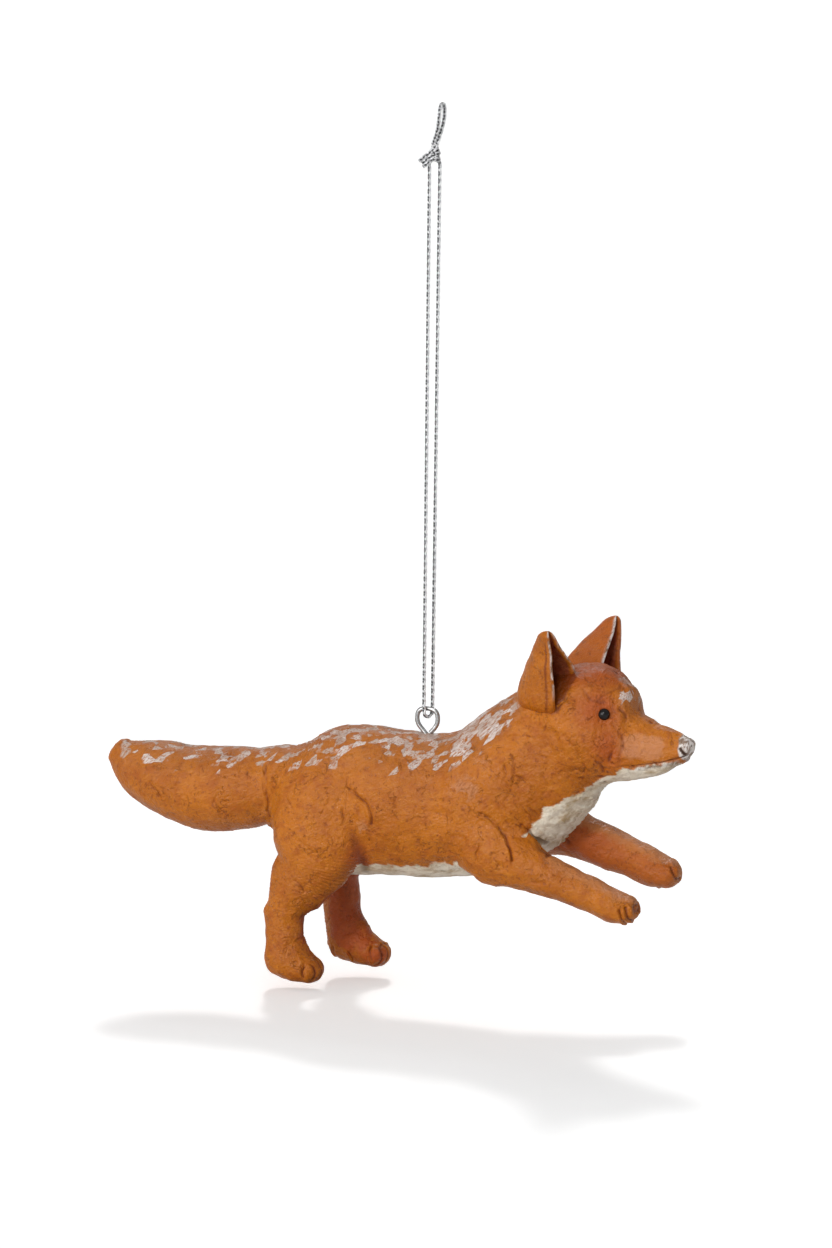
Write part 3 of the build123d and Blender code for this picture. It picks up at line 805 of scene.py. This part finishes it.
def blot(a, b, middle, reach, power=2):
    """A bell over two coordinates round a middle: both distances, over their reach, are raised to
    the power and put in a falling exponential."""
    return np.exp(-((a - middle[0]) / reach[0]) ** power - ((b - middle[1]) / reach[1]) ** power)


def paint_marks(piece, p, out):
    """Shares from 0 to 1 at each point: pale under the body and chin, frost on the back and brow, red
    on the inner sides of the legs, between thigh and belly, round the eye, on the cheek and the crown, partly
    painted shade, silver on nose and lip with a painted highlight on the lip, rub where the paint is worn and
    a painted highlight along the forelegs' tops, and wash where the skin is drawn in, partly painted shade,
    with painted shade on the skull beside the ears."""
    x, z = p[:, 0], p[:, 2]
    ragged = 0.55 * clouds(p, 1.9, 11) + 0.35 * clouds(p, 0.7, 12)
    marks = dict.fromkeys(("pale", "frost", "red", "silver", "hollow", "rub_and_highlight", "hatch"), np.zeros(len(p)))
    # brown wash in the creases and strokes, partly painted shade there
    marks["wash_and_shade"] = np.clip(out["wash_and_shade"] * 2.2 - out["height"] * 0.5, 0, 1)
    if piece in ("torso", "head"):
        marks["pale"] = step_up(np.interp(x, *belly_edge.T) + 1.3 * ragged - z, -0.2, 0.2)
    if piece in ("torso", "tail"):
        top = step_up((z - np.interp(x, *ridge_line.T)) / np.interp(x, *frost_depth.T), -1.0, -0.05)
        thin = 0.62 + 0.38 * step_up(x, -12.0, 4.0)
        marks["frost"] = top * thin * step_up(x, -70.5, -66.0) * step_up(-x, -24.0, -19.0)
    if piece == "head":
        s, left, t = head_place(p).T
        far, seen = np.abs(left), np.stack([s, t], 1)
        marks["frost"] = 0.78 * blot(s, t, (13.6, 6.4), (2.2, 3.0)) * np.exp(-(far / 5.5) ** 4)
        nose = step_up(s + 0.5 * ragged + 0.12 * t, 24.6, 25.0)
        # painted highlight: the lower lip's edge is lightened with the silver paint
        lip = near_line(seen, [(15.5, -7.5), (20.7, -6.3), (24.6, -5.6)], 0.55) * step_up(ragged, -0.5, 0.2)
        streak = near_line(seen, [(9.4, 11.2), (10.6, 9.8), (12.4, 8.6), (13.8, 7.6)], 0.20)
        streak = streak * step_up(ragged, -0.35, 0.2)
        marks["silver"] = np.maximum.reduce([nose, 0.75 * lip, 0.6 * streak])
        marks["rub_and_highlight"] = blot(s, t, (17.8, -2.7), (5.2, 2.8), 4) * step_up(far, 1.6, 3.2)
        round_eye = blot(s, t, (9.4, 4.8), (4.4, 4.6)) * step_up(far, 3.0, 6.0)
        # painted shade: the cheek under the eye and the crown behind the brow are darkened with the red where
        # they face away from the light
        below_eye = 0.85 * blot(s, t, (11.0, -3.0), (2.8, 5.4)) * step_up(far, 3.0, 5.5)
        crown = 0.85 * step_up(t, 7.0, 11.0) * step_up(-s, -14.5, -10.0)
        marks["red"] = np.clip(0.9 * np.maximum.reduce([round_eye, below_eye, crown]), 0, 1)
        # painted shade on the skull just beside each ear, where the ear's rim shades it, laid in through the
        # wash
        shade_beside_ear = step_up(np.interp(t, [3.7, 5.5, 9.5, 12.0], [1.8, 2.2, 3.2, 3.6]) - s, -0.2, 1.0)
        shade_beside_ear = shade_beside_ear * step_up(s, -7.5, -5.5) * step_up(t, 2.4, 4.4) * step_up(far, 3.4, 5.0)
        marks["wash_and_shade"] = np.maximum(1.3 * marks["wash_and_shade"], 0.95 * shade_beside_ear)
    # painted shade: red-brown darkening in the recess between the near thigh and the belly
    recess = 0.9 * blot(x, z, (-12.9, -154.5), (2.2, 3.6))  # between the near thigh and the belly
    if piece == "torso":
        worn = np.max([np.exp(-((p - np.array(c)) ** 2).sum(1) / r ** 2) for c, r in rubs], axis=0)
        marks["hatch"] = marks["rub_and_highlight"] = 1.2 * worn * step_up(ragged, -0.6, 0.3)
        marks["red"] = recess
    if piece.startswith(("foreleg", "hindleg")):
        inward = out["ray"][:, 1] * (1.0 if piece.endswith("right") else -1.0)
        if piece.startswith("hindleg"):
            front = out["ray"][:, 0] * step_up(-z, 158.0, 163.0)
            low = step_up(-z, 173.0, 177.0)
            shade = 0.32 * step_up(front + 0.8 * ragged, 0.35, 0.8) * (1 - low)
            marks["wash_and_shade"] = np.maximum(marks["wash_and_shade"], shade)
            # the inner and front sides of the hind legs are painted darker red, partly red-brown paint and
            # partly painted shade
            inner = step_up(inward + 0.75 * front + 0.45 * ragged - 0.5 * low, 0.15, 0.75)
            marks["red"] = recess + (1 - recess) * inner * step_up(-z, 146.0, 152.0)
        else:
            # painted highlight: the forelegs' top sides are lightened with the rubbed pink, partly a real
            # pink haze
            marks["rub_and_highlight"] = 0.8 * step_up(out["ray"][:, 2], 0.1, 0.9) * step_up(x, 24.0, 30.0)
            # the inner sides of the forelegs are painted darker red, partly red-brown paint and partly
            # painted shade
            inner = step_up(inward + 0.35 * ragged, 0.25, 0.9)
            marks["red"] = 0.8 * inner * (1 - 0.5 * step_up(x, 30.0, 42.0))
    return marks


# %% [markdown]
# ### The seven masses
# Each piece is written with its own marks and rides on the hanging body in place of its solid.

# %% Torso, head, tail and legs
head_spine = lump(on_head([
    (-7.0, 0, 1.0, 6.5, 7.0, 7.5, 0),
    (-3.0, 0, 0.5, 9.5, 10.5, 11.0, 0),
    (3.0, 0, -0.3, 10.2, 12.0, 11.6, 0),
    (9.0, 0, -1.4, 8.0, 11.0, 9.8, 0),
    (14.0, 0, -2.8, 6.0, 7.4, 7.3, 0),
    (20.0, 0, -3.4, 4.1, 4.8, 5.1, 0),
    (25.6, 0, -2.9, 2.3, 2.3, 2.3, -24),
]), head_yaw, (None, 1.5), 96)
plan = {
    "torso": (torso, 300, 250, 16, 2.5, None),
    "head": (head_spine, 260, 240, 26, 3.5, face_marks),
    "tail": (tail, 200, 190, 30, 3.0, None),
    "foreleg_right": (masses["foreleg_right"][0], 190, 120, 26, 2.6, toes_at(47.4, -8.25, (1.0,))),
    "foreleg_left": (masses["foreleg_left"][0], 190, 120, 26, 2.6, toes_at(50.9, 8.25, (1.0,))),
    "hindleg_right": (masses["hindleg_right"][0], 200, 130, 20, 2.6, None),
    "hindleg_left": (masses["hindleg_left"][0], 200, 130, 20, 2.6, None),
}
fox_pieces = {}
for name, (form, rings, spokes, cap_rings, farthest, extra) in plan.items():
    p, faces, out = walk(name, form, grain(rings), grain(spokes), grain(cap_rings), farthest, extra)
    fox_pieces[name] = write_mesh(f"clay_{name}", [(p, *faces)], paint_marks(name, p, out))
for name, front, middle in (("hindleg_right", -20.2, -8.2), ("hindleg_left", -12.1, 8.2)):
    foot = masses[name][1]
    p, faces, out = walk(name, foot, grain(70), grain(120), grain(26), 2.6, toes_at(front, middle))
    fox_pieces[name + "_foot"] = write_mesh(f"clay_{name}_foot", [(p, *faces)], paint_marks(name, p, out))

# %% [markdown]
# ### Ears
# Each ear is a leaf of clay cupped forward. Its cross-section is a crescent: an outer arc, a rounded
# rim, a smaller arc back inside, and the other rim. The crescent shrinks and leans from the root up
# to the blunt tip.

# %% Ears


def crescent(v, half_width, depth, wall, scoop):
    """The closed outline of one section. The outer arc is half an oval; the inner arc is the oval less
    the wall, its depth times the scoop; a small half circle rounds each rim."""
    parts = [0.0, 0.44, 0.52, 0.92, 1.0]
    t = [np.clip((v - a) / (b - a), 0, 1) * np.pi for a, b in zip(parts[:-1], parts[1:])]
    rim = np.minimum(wall / 2, half_width * 0.45)
    outer = (-half_width * np.cos(t[0]), -depth * np.sin(t[0]))
    right = (half_width - rim + rim * np.cos(t[1]), rim * np.sin(t[1]))
    inner = ((half_width - 2 * rim) * np.cos(t[2]), -np.maximum(depth - wall, 0.1) * scoop * np.sin(t[2]))
    left = (-(half_width - rim) + rim * np.cos(t[3]), rim * np.sin(t[3]))
    which = np.searchsorted(parts, v, "right") - 1
    x = np.choose(which, [outer[0], right[0], inner[0], left[0]])
    y = np.choose(which, [outer[1], right[1], inner[1], left[1]])
    hollow = np.where(which == 2, np.sin(t[2]), 0.0)
    rims = [np.exp(-((t[n] - middle) / width) ** 2) for n, middle, width in ((1, 1.3, 0.45), (3, 1.9, 0.75))]
    return x, y, hollow, np.choose(which, [0 * v, rims[0], 0 * v, rims[1]])


def ear(side, forward, deeper, splay):
    """A grid of points up and round one ear, side -1 for the right. Each level slice is a crescent
    whose ends stand on the two rims; the line between the rims is its chord, its depth lies
    behind the chord, and the rims, depth and wall come from a spline over a few heights."""
    rings, spokes = grain(170), grain(210)
    rows = np.array([  # height, outer rim forward and out, inner rim forward and out, depth, wall
        (0.0, -3.4, 6.4, -2.0, 2.8, 5.4, 2.2),
        (2.2, -1.4, 9.2, -0.4, 3.0, 8.8, 1.9),
        (4.6, 0.0, 11.5, 0.6, 3.1, 10.4, 1.6),
        (8.0, 0.4, 12.2, 1.1, 3.4, 10.2, 1.3),
        (12.0, 0.4, 12.5, 1.4, 4.6, 8.9, 1.1),
        (16.0, 0.3, 13.0, 1.2, 8.3, 6.0, 1.0),
        (19.0, 0.2, 13.6, 0.8, 10.9, 3.5, 0.95),
        (20.6, 0.1, 13.9, 0.5, 11.7, 2.4, 0.9),
    ])
    level = np.linspace(0, 1, rings)
    height = 20.6 * (1 - (1 - level) ** 1.3)
    drawn = spline(rows[:, 0], rows[:, 1:], height)
    round_off = np.sqrt(np.clip(1 - np.clip((height - 19.0) / 1.6, 0, 1) ** 2, 0.0, 1))
    round_off = np.maximum(round_off, 0.03)
    v = (np.arange(spokes) + 0.5) / spokes
    hh, vv = np.meshgrid(np.arange(rings), v, indexing="ij")
    hh, vv = hh.ravel(), vv.ravel()
    ls, lo, ms, mo, d, wall = (drawn[hh, k] for k in range(6))
    ls = ls + splay
    tall = height[hh] / 20.6
    push = forward * (1 - 0.75 * tall)
    w = np.hypot(ls - ms, lo - mo) / 2
    e1 = np.stack([ls - ms, lo - mo], 1) / (2 * w)[:, None]
    scoop = 0.93 * step_up(tall, 0.05, 0.25) * (1 - 0.3 * step_up(tall, 0.85, 1.0))
    scale = round_off[hh]
    x, y, hollow, edge = crescent(vv, w * scale, d * (1 + deeper * (1 - tall)) * scale, wall * scale, scoop)
    s = (ls + ms) / 2 + push + x * e1[:, 0] + y * e1[:, 1]
    out = (lo + mo) / 2 + x * e1[:, 1] - y * e1[:, 0]
    p = on_head(np.stack([s, side * out, height[hh]], 1))
    poles = np.stack([p[:spokes].mean(0), p[-spokes:].mean(0)])
    p = np.concatenate([p, poles])
    hollow, edge, tall = np.r_[hollow, 0, 0], np.r_[edge, 0, 1], np.r_[tall, 0, 1]
    lumps = 0.26 * clouds(p, 4.4, 21) + 0.14 * clouds(p, 1.9, 22) - 0.16 * strokes(p, 3.0, 24, 1.3, 0.4, 60.0)
    chord = [[0.5 * (a + b) + forward, side * (c + e) / 2, t] for t, a, c, b, e, _, _ in rows]
    middle = on_head(np.array(chord))
    core = np.stack([np.interp(p[:, 2], middle[:, 2], middle[:, k]) for k in range(3)], 1)
    away = unit(p - core)
    p = p + away * (lumps * (1 - 0.6 * step_up(hollow, 0.0, 0.4)) * np.minimum(1, 6 * (1 - tall)))[:, None]
    marks = dict.fromkeys(("pale", "frost", "rub_and_highlight"), np.zeros(len(p)))
    # the wash also darkens the ear's root where it meets the head, as painted shade
    marks["wash_and_shade"] = np.clip(-lumps * 1.2, 0, 1) * (1 - hollow) + 0.25 * step_up(-tall, -0.20, -0.12)
    fold = np.exp(-((np.r_[vv, 0, 0] - 0.428) / 0.007) ** 2) * step_up(clouds(p, 2.6, 25), -0.7, 0.3)
    marks["wash_and_shade"] = np.maximum(marks["wash_and_shade"], 0.75 * fold * step_up(-tall, -0.93, -0.85))
    # painted shade: the ear's root is redder, and the far ear is redder all over
    marks["red"] = 0.35 * step_up(-tall, -0.32, -0.10) + (0.5 if side > 0 else 0.0)
    marks["silver"] = edge * step_up(tall, 0.25, 0.5) * step_up(clouds(p, 1.1, 23), -0.8, 0.1)
    marks["hollow"] = step_up(hollow, 0.0, 0.06)
    return p, tube_faces(rings, spokes), marks


for name, side, forward, deeper, splay in (("ear_right", -1, 0.0, 0.0, 0.0), ("ear_left", 1, 1.5, 0.22, 1.0)):
    p, faces, marks = ear(side, forward, deeper, splay)
    fox_pieces[name] = write_mesh(f"clay_{name}", [(p, *faces)], marks)

# %% [markdown]
# ## Materials
# One small helper adds a shader node, and one turns the hex colours that a painter would note down
# into the linear values that light is reckoned in.

# %% Shader helpers


def linear(code):
    """A linear colour from an sRGB hex code: each channel over 12.92 when dark, otherwise raised to 2.4."""
    c = np.array([int(code[i:i + 2], 16) for i in (1, 3, 5)]) / 255
    return (*np.where(c <= 0.04045, c / 12.92, ((c + 0.055) / 1.055) ** 2.4), 1.0)


def add(tree, kind, wires=None, sockets=None, **settings):
    """A node of a kind, with its settings, its sockets' values and the wires into its inputs."""
    node = tree.nodes.new(kind)
    for name, value in settings.items():
        setattr(node, name, value)
    for key, value in (sockets or {}).items():
        node.inputs[key].default_value = value
    for key, source in (wires or {}).items():
        tree.links.new(source, node.inputs[key])
    return node


def new_material(name):
    """An empty material, its tree, its Principled shader wired to the output, and a wire with the
    Object coordinates."""
    material = bpy.data.materials.new(name)
    material.use_nodes = True
    tree = material.node_tree
    tree.nodes.clear()
    shader = add(tree, "ShaderNodeBsdfPrincipled")
    add(tree, "ShaderNodeOutputMaterial", {"Surface": shader.outputs[0]})
    return material, tree, shader, add(tree, "ShaderNodeTexCoord").outputs["Object"]


def give(tree, shader, **inputs):
    """Sets a shader's inputs, named with _ for a space: each is a wire or a value."""
    for name, value in inputs.items():
        socket = shader.inputs[name.replace("_", " ")]
        if isinstance(value, bpy.types.NodeSocket):
            tree.links.new(value, socket)
        else:
            socket.default_value = value


def mixed(tree, share, first, second):
    """A colour between two, by a share that is a wire or a number; each colour a wire or a hex code."""
    node = add(tree, "ShaderNodeMix", data_type="RGBA")
    for socket, value in ((node.inputs[6], first), (node.inputs[7], second)):
        if isinstance(value, str):
            socket.default_value = linear(value)
        else:
            tree.links.new(value, socket)
    if isinstance(share, float):
        node.inputs[0].default_value = share
    else:
        tree.links.new(share, node.inputs[0])
    return node.outputs[2]


def ramp(tree, source, low, high):
    """A wire from 0 at low to 1 at high."""
    smooth = {"clamp": True, "interpolation_type": "SMOOTHSTEP"}
    return add(tree, "ShaderNodeMapRange", {0: source}, {1: low, 2: high}, **smooth).outputs[0]


def times(tree, a, b, kind="MULTIPLY"):
    """Two wires, or a wire and a number, multiplied or otherwise joined."""
    node = add(tree, "ShaderNodeMath", operation=kind)
    for socket, value in ((node.inputs[0], a), (node.inputs[1], b)):
        if isinstance(value, (int, float)):
            socket.default_value = value
        else:
            tree.links.new(value, socket)
    return node.outputs[0]


# %% [markdown]
# ### Brushed acrylic on cast resin
# The body is satin acrylic: a warm orange coat, a thin brown wash that settles in every crease and
# darkens it further as painted shade, dusty rubbed pink where fingers polished it, lightened along the
# forelegs' tops as a painted highlight, and silver paint dragged with a nearly dry brush over the back,
# which leaves torn, streaky patches. The red on the inner legs, cheek, crown and ears is partly painted
# shade. The patterns sit on Object coordinates, in metres.

# %% Painted resin
# satin acrylic on cast resin, with a brown wash that is partly painted shade, and dry-brushed silver
paint, tree, shader, place = new_material("brushed_acrylic_on_resin")
mark = {
    n: add(tree, "ShaderNodeAttribute", attribute_name=n).outputs["Fac"]
    for n in ("wash_and_shade", "pale", "frost", "red", "silver", "hollow", "rub_and_highlight", "hatch")
}
per_mm = 1000.0


def noise(size, detail=3.0, rough=0.55, source=place, distortion=0.0):
    """Cloudy noise whose features are about this many millimetres wide."""
    sockets = {"Scale": per_mm / size, "Detail": detail, "Roughness": rough, "Distortion": distortion}
    return add(tree, "ShaderNodeTexNoise", {"Vector": source}, sockets).outputs["Fac"]


def stretched(slope, times_longer):
    """Object coordinates squeezed along a slope, in degrees in the fox's side view, so that whatever
    is patterned on them comes out that many times longer that way."""
    settings = {"Rotation": (0.0, -math.radians(slope), 0.0), "Scale": (times_longer, 1.0, 1.0)}
    return add(tree, "ShaderNodeMapping", {"Vector": place}, settings, vector_type="TEXTURE").outputs[0]


broad = noise(9.0)
middling = noise(2.6, 4.0, 0.6)
brushed = noise(0.42, 3.0, 0.6, stretched(25.0, 4.5))
coat = mixed(tree, ramp(tree, broad, 0.35, 0.65), "#AB5D06", "#B8680C")
coat = mixed(tree, times(tree, ramp(tree, middling, 0.46, 0.72), 0.6), coat, "#9A4A0D")
coat = mixed(tree, times(tree, ramp(tree, noise(5.5, 5.0, 0.62), 0.57, 0.66), 0.26), coat, "#B56D32")
coat = mixed(tree, times(tree, ramp(tree, brushed, 0.50, 0.72), 0.28), coat, "#C98428")
# darker red-brown: real paint, and painted shade on the inner legs, cheek, crown, ear roots and far ear
red_coat = mixed(tree, ramp(tree, middling, 0.35, 0.65), "#9C3C0C", "#A84A14")
coat = mixed(tree, times(tree, mark["red"], 0.85), coat, red_coat)
settle = times(tree, ramp(tree, noise(1.0, 5.0, 0.70), 0.54, 0.68), 0.62)
coat = mixed(tree, settle, coat, "#7E3A0C")
level_line = times(tree, noise(3.4, 3.0, 0.6, place, 0.8), 0.5, "SUBTRACT")
crack = times(tree, 1.0, ramp(tree, times(tree, level_line, 0.0, "ABSOLUTE"), 0.0, 0.016), "SUBTRACT")
crack = times(tree, crack, ramp(tree, noise(3.0, 3.0, 0.6), 0.50, 0.60))
coat = mixed(tree, times(tree, crack, 0.6), coat, "#6E2E0C")
hatch = ramp(tree, noise(0.32, 2.0, 0.5, stretched(48.0, 9.0)), 0.50, 0.62)
hatch = times(tree, hatch, ramp(tree, mark["hatch"], 0.0, 0.3))
polish = noise(2.2, 4.0, 0.7)
# rubbed pink where the paint is worn, and the painted highlight along the forelegs' tops
rubbed_and_highlit = times(tree, ramp(tree, times(tree, mark["rub_and_highlight"], polish, "ADD"), 0.84, 1.30), 0.62)
coat = mixed(tree, rubbed_and_highlit, coat, mixed(tree, times(tree, hatch, 0.5), "#BC7C50", "#8F4F28"))
# the brown wash, partly painted shade in the creases
coat = mixed(tree, times(tree, ramp(tree, mark["wash_and_shade"], 0.10, 0.80), 0.80), coat, "#6E2C0A")

along = stretched(50.0, 2.2)
flakes = add(tree, "ShaderNodeTexVoronoi", {"Vector": along}, {"Scale": per_mm / 1.35})
picked = add(tree, "ShaderNodeSeparateColor", {0: flakes.outputs["Color"]})
streaks = noise(0.28, 3.0, 0.6, stretched(50.0, 5.0))
clumps = times(tree, ramp(tree, noise(4.0, 3.0), 0.36, 0.62), 0.62)
wanted = times(tree, mark["frost"], times(tree, clumps, 0.40, "ADD"))
reach = times(tree, wanted, picked.outputs[0], "SUBTRACT")
patch = times(tree, ramp(tree, reach, 0.0, 0.12), ramp(tree, streaks, 0.32, 0.56))
haze = times(tree, ramp(tree, noise(0.9, 5.0, 0.75, along), 0.40, 0.62), times(tree, mark["frost"], 0.36))
coat = mixed(tree, times(tree, mark["frost"], 0.25), coat, "#8A4A12")
coat = mixed(tree, haze, coat, "#A07A5A")
flake_coat = mixed(tree, picked.outputs[1], "#BCA99C", "#E0D8D4")
coat = mixed(tree, times(tree, patch, 0.84), coat, flake_coat)

worn = ramp(tree, noise(2.4, 5.0, 0.66, stretched(20.0, 2.0)), 0.40, 0.70)
pale_coat = mixed(tree, worn, "#E6DAC6", "#AE936C")
# the brown wash on the pale paint, partly painted shade in its creases
pale_coat = mixed(tree, times(tree, ramp(tree, mark["wash_and_shade"], 0.15, 0.7), 0.7), pale_coat, "#6B4F32")
coat = mixed(tree, mark["pale"], coat, pale_coat)
hollow_coat = mixed(tree, ramp(tree, middling, 0.35, 0.7), "#8A3A20", "#A35A38")
coat = mixed(tree, mark["hollow"], coat, hollow_coat)
dirt = ramp(tree, noise(1.0, 4.0, 0.65, stretched(70.0, 2.0)), 0.42, 0.60)
rim_coat = mixed(tree, dirt, "#E4DEDA", "#7A6552")
# the brown wash on the silver, partly painted shade in its creases
rim_coat = mixed(tree, ramp(tree, mark["wash_and_shade"], 0.15, 0.60), rim_coat, "#3A2A20")
coat = mixed(tree, times(tree, mark["silver"], 0.92), coat, rim_coat)

gloss = add(tree, "ShaderNodeMapRange", {0: middling}, {1: 0.3, 2: 0.7, 3: 0.24, 4: 0.44})
shine = times(tree, times(tree, mark["rub_and_highlight"], -0.45), 1.0, "ADD")
relief = times(tree, brushed, 0.5)
for wire, share, kind in (
    (noise(0.8, 4.0, 0.62), 0.9, "ADD"), (middling, 0.9, "ADD"), (patch, 0.25, "ADD"),
    (crack, 0.35, "SUBTRACT"), (times(tree, rubbed_and_highlit, hatch), 0.4, "SUBTRACT"),
):
    relief = times(tree, relief, times(tree, wire, share), kind)
bump = add(tree, "ShaderNodeBump", {"Height": relief}, {"Strength": 0.9, "Distance": 0.00040})
give(tree, shader, Base_Color=coat, Roughness=times(tree, gloss.outputs[0], shine), IOR=1.47,
     Specular_IOR_Level=0.34, Normal=bump.outputs[0])

# %% [markdown]
# ### Black glass, steel wire and metallic thread
# The eyes are glass beads, near black and glossy. The screw eye is nickel-plated steel wire with faint
# drawing lines. The cord is foil thread: bright metal, darkened as painted shade where a thread dips under
# the others.

# %% Bead, wire and thread


def cloudy(tree, place, scale, detail=2.0):
    """Plain cloudy noise of a scale per metre."""
    sockets = {"Scale": scale, "Detail": detail}
    return add(tree, "ShaderNodeTexNoise", {"Vector": place}, sockets).outputs["Fac"]


# a bead of opaque black glass, tinted unevenly by a hair
glass, tree, shader, place = new_material("black_glass_bead")
tint = mixed(tree, ramp(tree, cloudy(tree, place, 700.0), 0.4, 0.6), "#0C0A0A", "#161212")
give(tree, shader, Base_Color=tint, Roughness=0.08, IOR=1.52, Specular_IOR_Level=0.3)

# drawn steel wire, bright nickel plated
steel, tree, shader, place = new_material("nickel_plated_wire")
lines = cloudy(tree, place, 2600.0, 3.0)
plating = mixed(tree, ramp(tree, lines, 0.35, 0.7), "#C9C9C9", "#9F9D9B")
polish = add(tree, "ShaderNodeMapRange", {0: lines}, {3: 0.16, 4: 0.34}).outputs[0]
give(tree, shader, Base_Color=plating, Roughness=polish, Metallic=1.0)

# silver foil thread, braided, with painted shade where a thread dips under the others
thread, tree, shader, place = new_material("silver_foil_thread")
wrap = cloudy(tree, place, 4200.0)
foil = mixed(tree, ramp(tree, wrap, 0.36, 0.58), "#B8B9BB", "#F4F4F6")
under = add(tree, "ShaderNodeAttribute", attribute_name="under").outputs["Fac"]
# painted shade: the foil darkens where a thread lies deep under the others
foil = mixed(tree, ramp(tree, under, 0.50, 0.95), foil, "#242426")
bump = add(tree, "ShaderNodeBump", {"Height": wrap}, {"Strength": 0.5, "Distance": 0.00006})
give(tree, shader, Base_Color=foil, Metallic=0.5, Roughness=0.30, Normal=bump.outputs[0])

# %% Dress the pieces and put them on their bodies


def dress(piece, material, body=None, slot=None, *nodes):
    """Gives a piece its finish and, for a new piece, the body it rides on and the solids it replaces."""
    piece.data.materials.clear()
    piece.data.materials.append(material)
    if body:
        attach(piece, body)
        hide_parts(*nodes)


for name, piece in fox_pieces.items():
    dress(piece, paint, "fox", "painted_resin", name.removesuffix("_foot"))
for bead in ("eye_bead_right", "eye_bead_left"):
    dress(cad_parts[bead], glass)
dress(wire_eye, steel, "fox", "steel_wire", "screw_eye")
for piece, body in ((cord_strands, "strands"), (cord_loop, "loop"), (cord_knot, "knot")):
    dress(piece, thread, body, "silver_cord", f"cord_{body}")

# %% [markdown]
# ## Floor and light
# The ornament hangs just over a white table. The floor is plain white and gets a small lift towards
# the camera only, so that it reads as white while it still takes the shadow. A wide sun from the
# front and a small one like a window, which gives the paint its glints, light the fox and spare the
# floor. A soft sun from above and behind and an even white sky light everything, and a low sun from
# behind shines on the floor alone, where it throws the long shadow forward.

# %% Floor, sky and suns
lowest = min(np.array([v[:] for v in f.bound_box])[:, 2].min() for f in fox_pieces.values())
half, gap = 14.0, 0.0012  # metres
corners = [(x * half, y * half, lowest - gap) for x, y in ((-1, -1), (1, -1), (1, 1), (-1, 1))]
floor_mesh = bpy.data.meshes.new("table")
floor_mesh.from_pydata(corners, [], [(0, 1, 2, 3)])
floor = bpy.data.objects.new("table", floor_mesh)
bpy.context.scene.collection.objects.link(floor)
# matt white paper, with the small lift that only the camera sees
white, tree, shader, place = new_material("white_paper")
paper = mixed(tree, ramp(tree, cloudy(tree, place, 900.0), 0.3, 0.7), "#F2F2F2", "#F4F4F4")
lift = times(tree, add(tree, "ShaderNodeLightPath").outputs["Is Camera Ray"], 0.45)
give(tree, shader, Base_Color=paper, Roughness=0.9, Specular_IOR_Level=0.0,
     Emission_Color=(1.0, 1.0, 1.0, 1.0), Emission_Strength=lift)
floor_mesh.materials.append(white)

world = bpy.data.worlds.new("sky")
bpy.context.scene.world = world
world.use_nodes = True
sky = world.node_tree
sky.nodes.clear()
seen = add(sky, "ShaderNodeLightPath").outputs["Is Camera Ray"]
level = add(sky, "ShaderNodeMapRange", {0: seen}, {3: 0.40, 4: 1.0})
background = add(sky, "ShaderNodeBackground", {"Strength": level.outputs[0]}, {"Color": (1.0, 1.0, 1.0, 1.0)})
add(sky, "ShaderNodeOutputWorld", {"Surface": background.outputs[0]})


def sun(name, azimuth, elevation, strength, softness_degrees, receivers=None):
    """A sun from a compass angle round the object, counted as the camera's, and a height angle. It
    may shine on a collection of receivers only."""
    data = bpy.data.lights.new(name, "SUN")
    data.energy = strength
    data.angle = math.radians(softness_degrees)
    holder = bpy.data.objects.new(name, data)
    turned = np.eye(4)
    turned[:3, :3] = np.array(look_axes(azimuth, elevation, 0.0)).T
    holder.matrix_world = Matrix(turned.tolist())
    bpy.context.scene.collection.objects.link(holder)
    if receivers:
        holder.light_linking.receiver_collection = receivers


floor_only, all_but_floor = (bpy.data.collections.new(name) for name in ("floor_only", "all_but_floor"))
for group in (floor_only, all_but_floor):
    group.objects.link(floor)
all_but_floor.collection_objects[0].light_linking.link_state = "EXCLUDE"
sun("front_softbox", -22.0, 14.0, 2.05, 50.0, all_but_floor)
sun("window", 6.0, 42.0, 0.75, 8.0, all_but_floor)
sun("top_back_light", 200.0, 38.0, 0.45, 20.0)
sun("low_back_light", 200.0, 34.0, 1.28, 5.0, floor_only)
bpy.context.scene.view_settings.view_transform = "Standard"
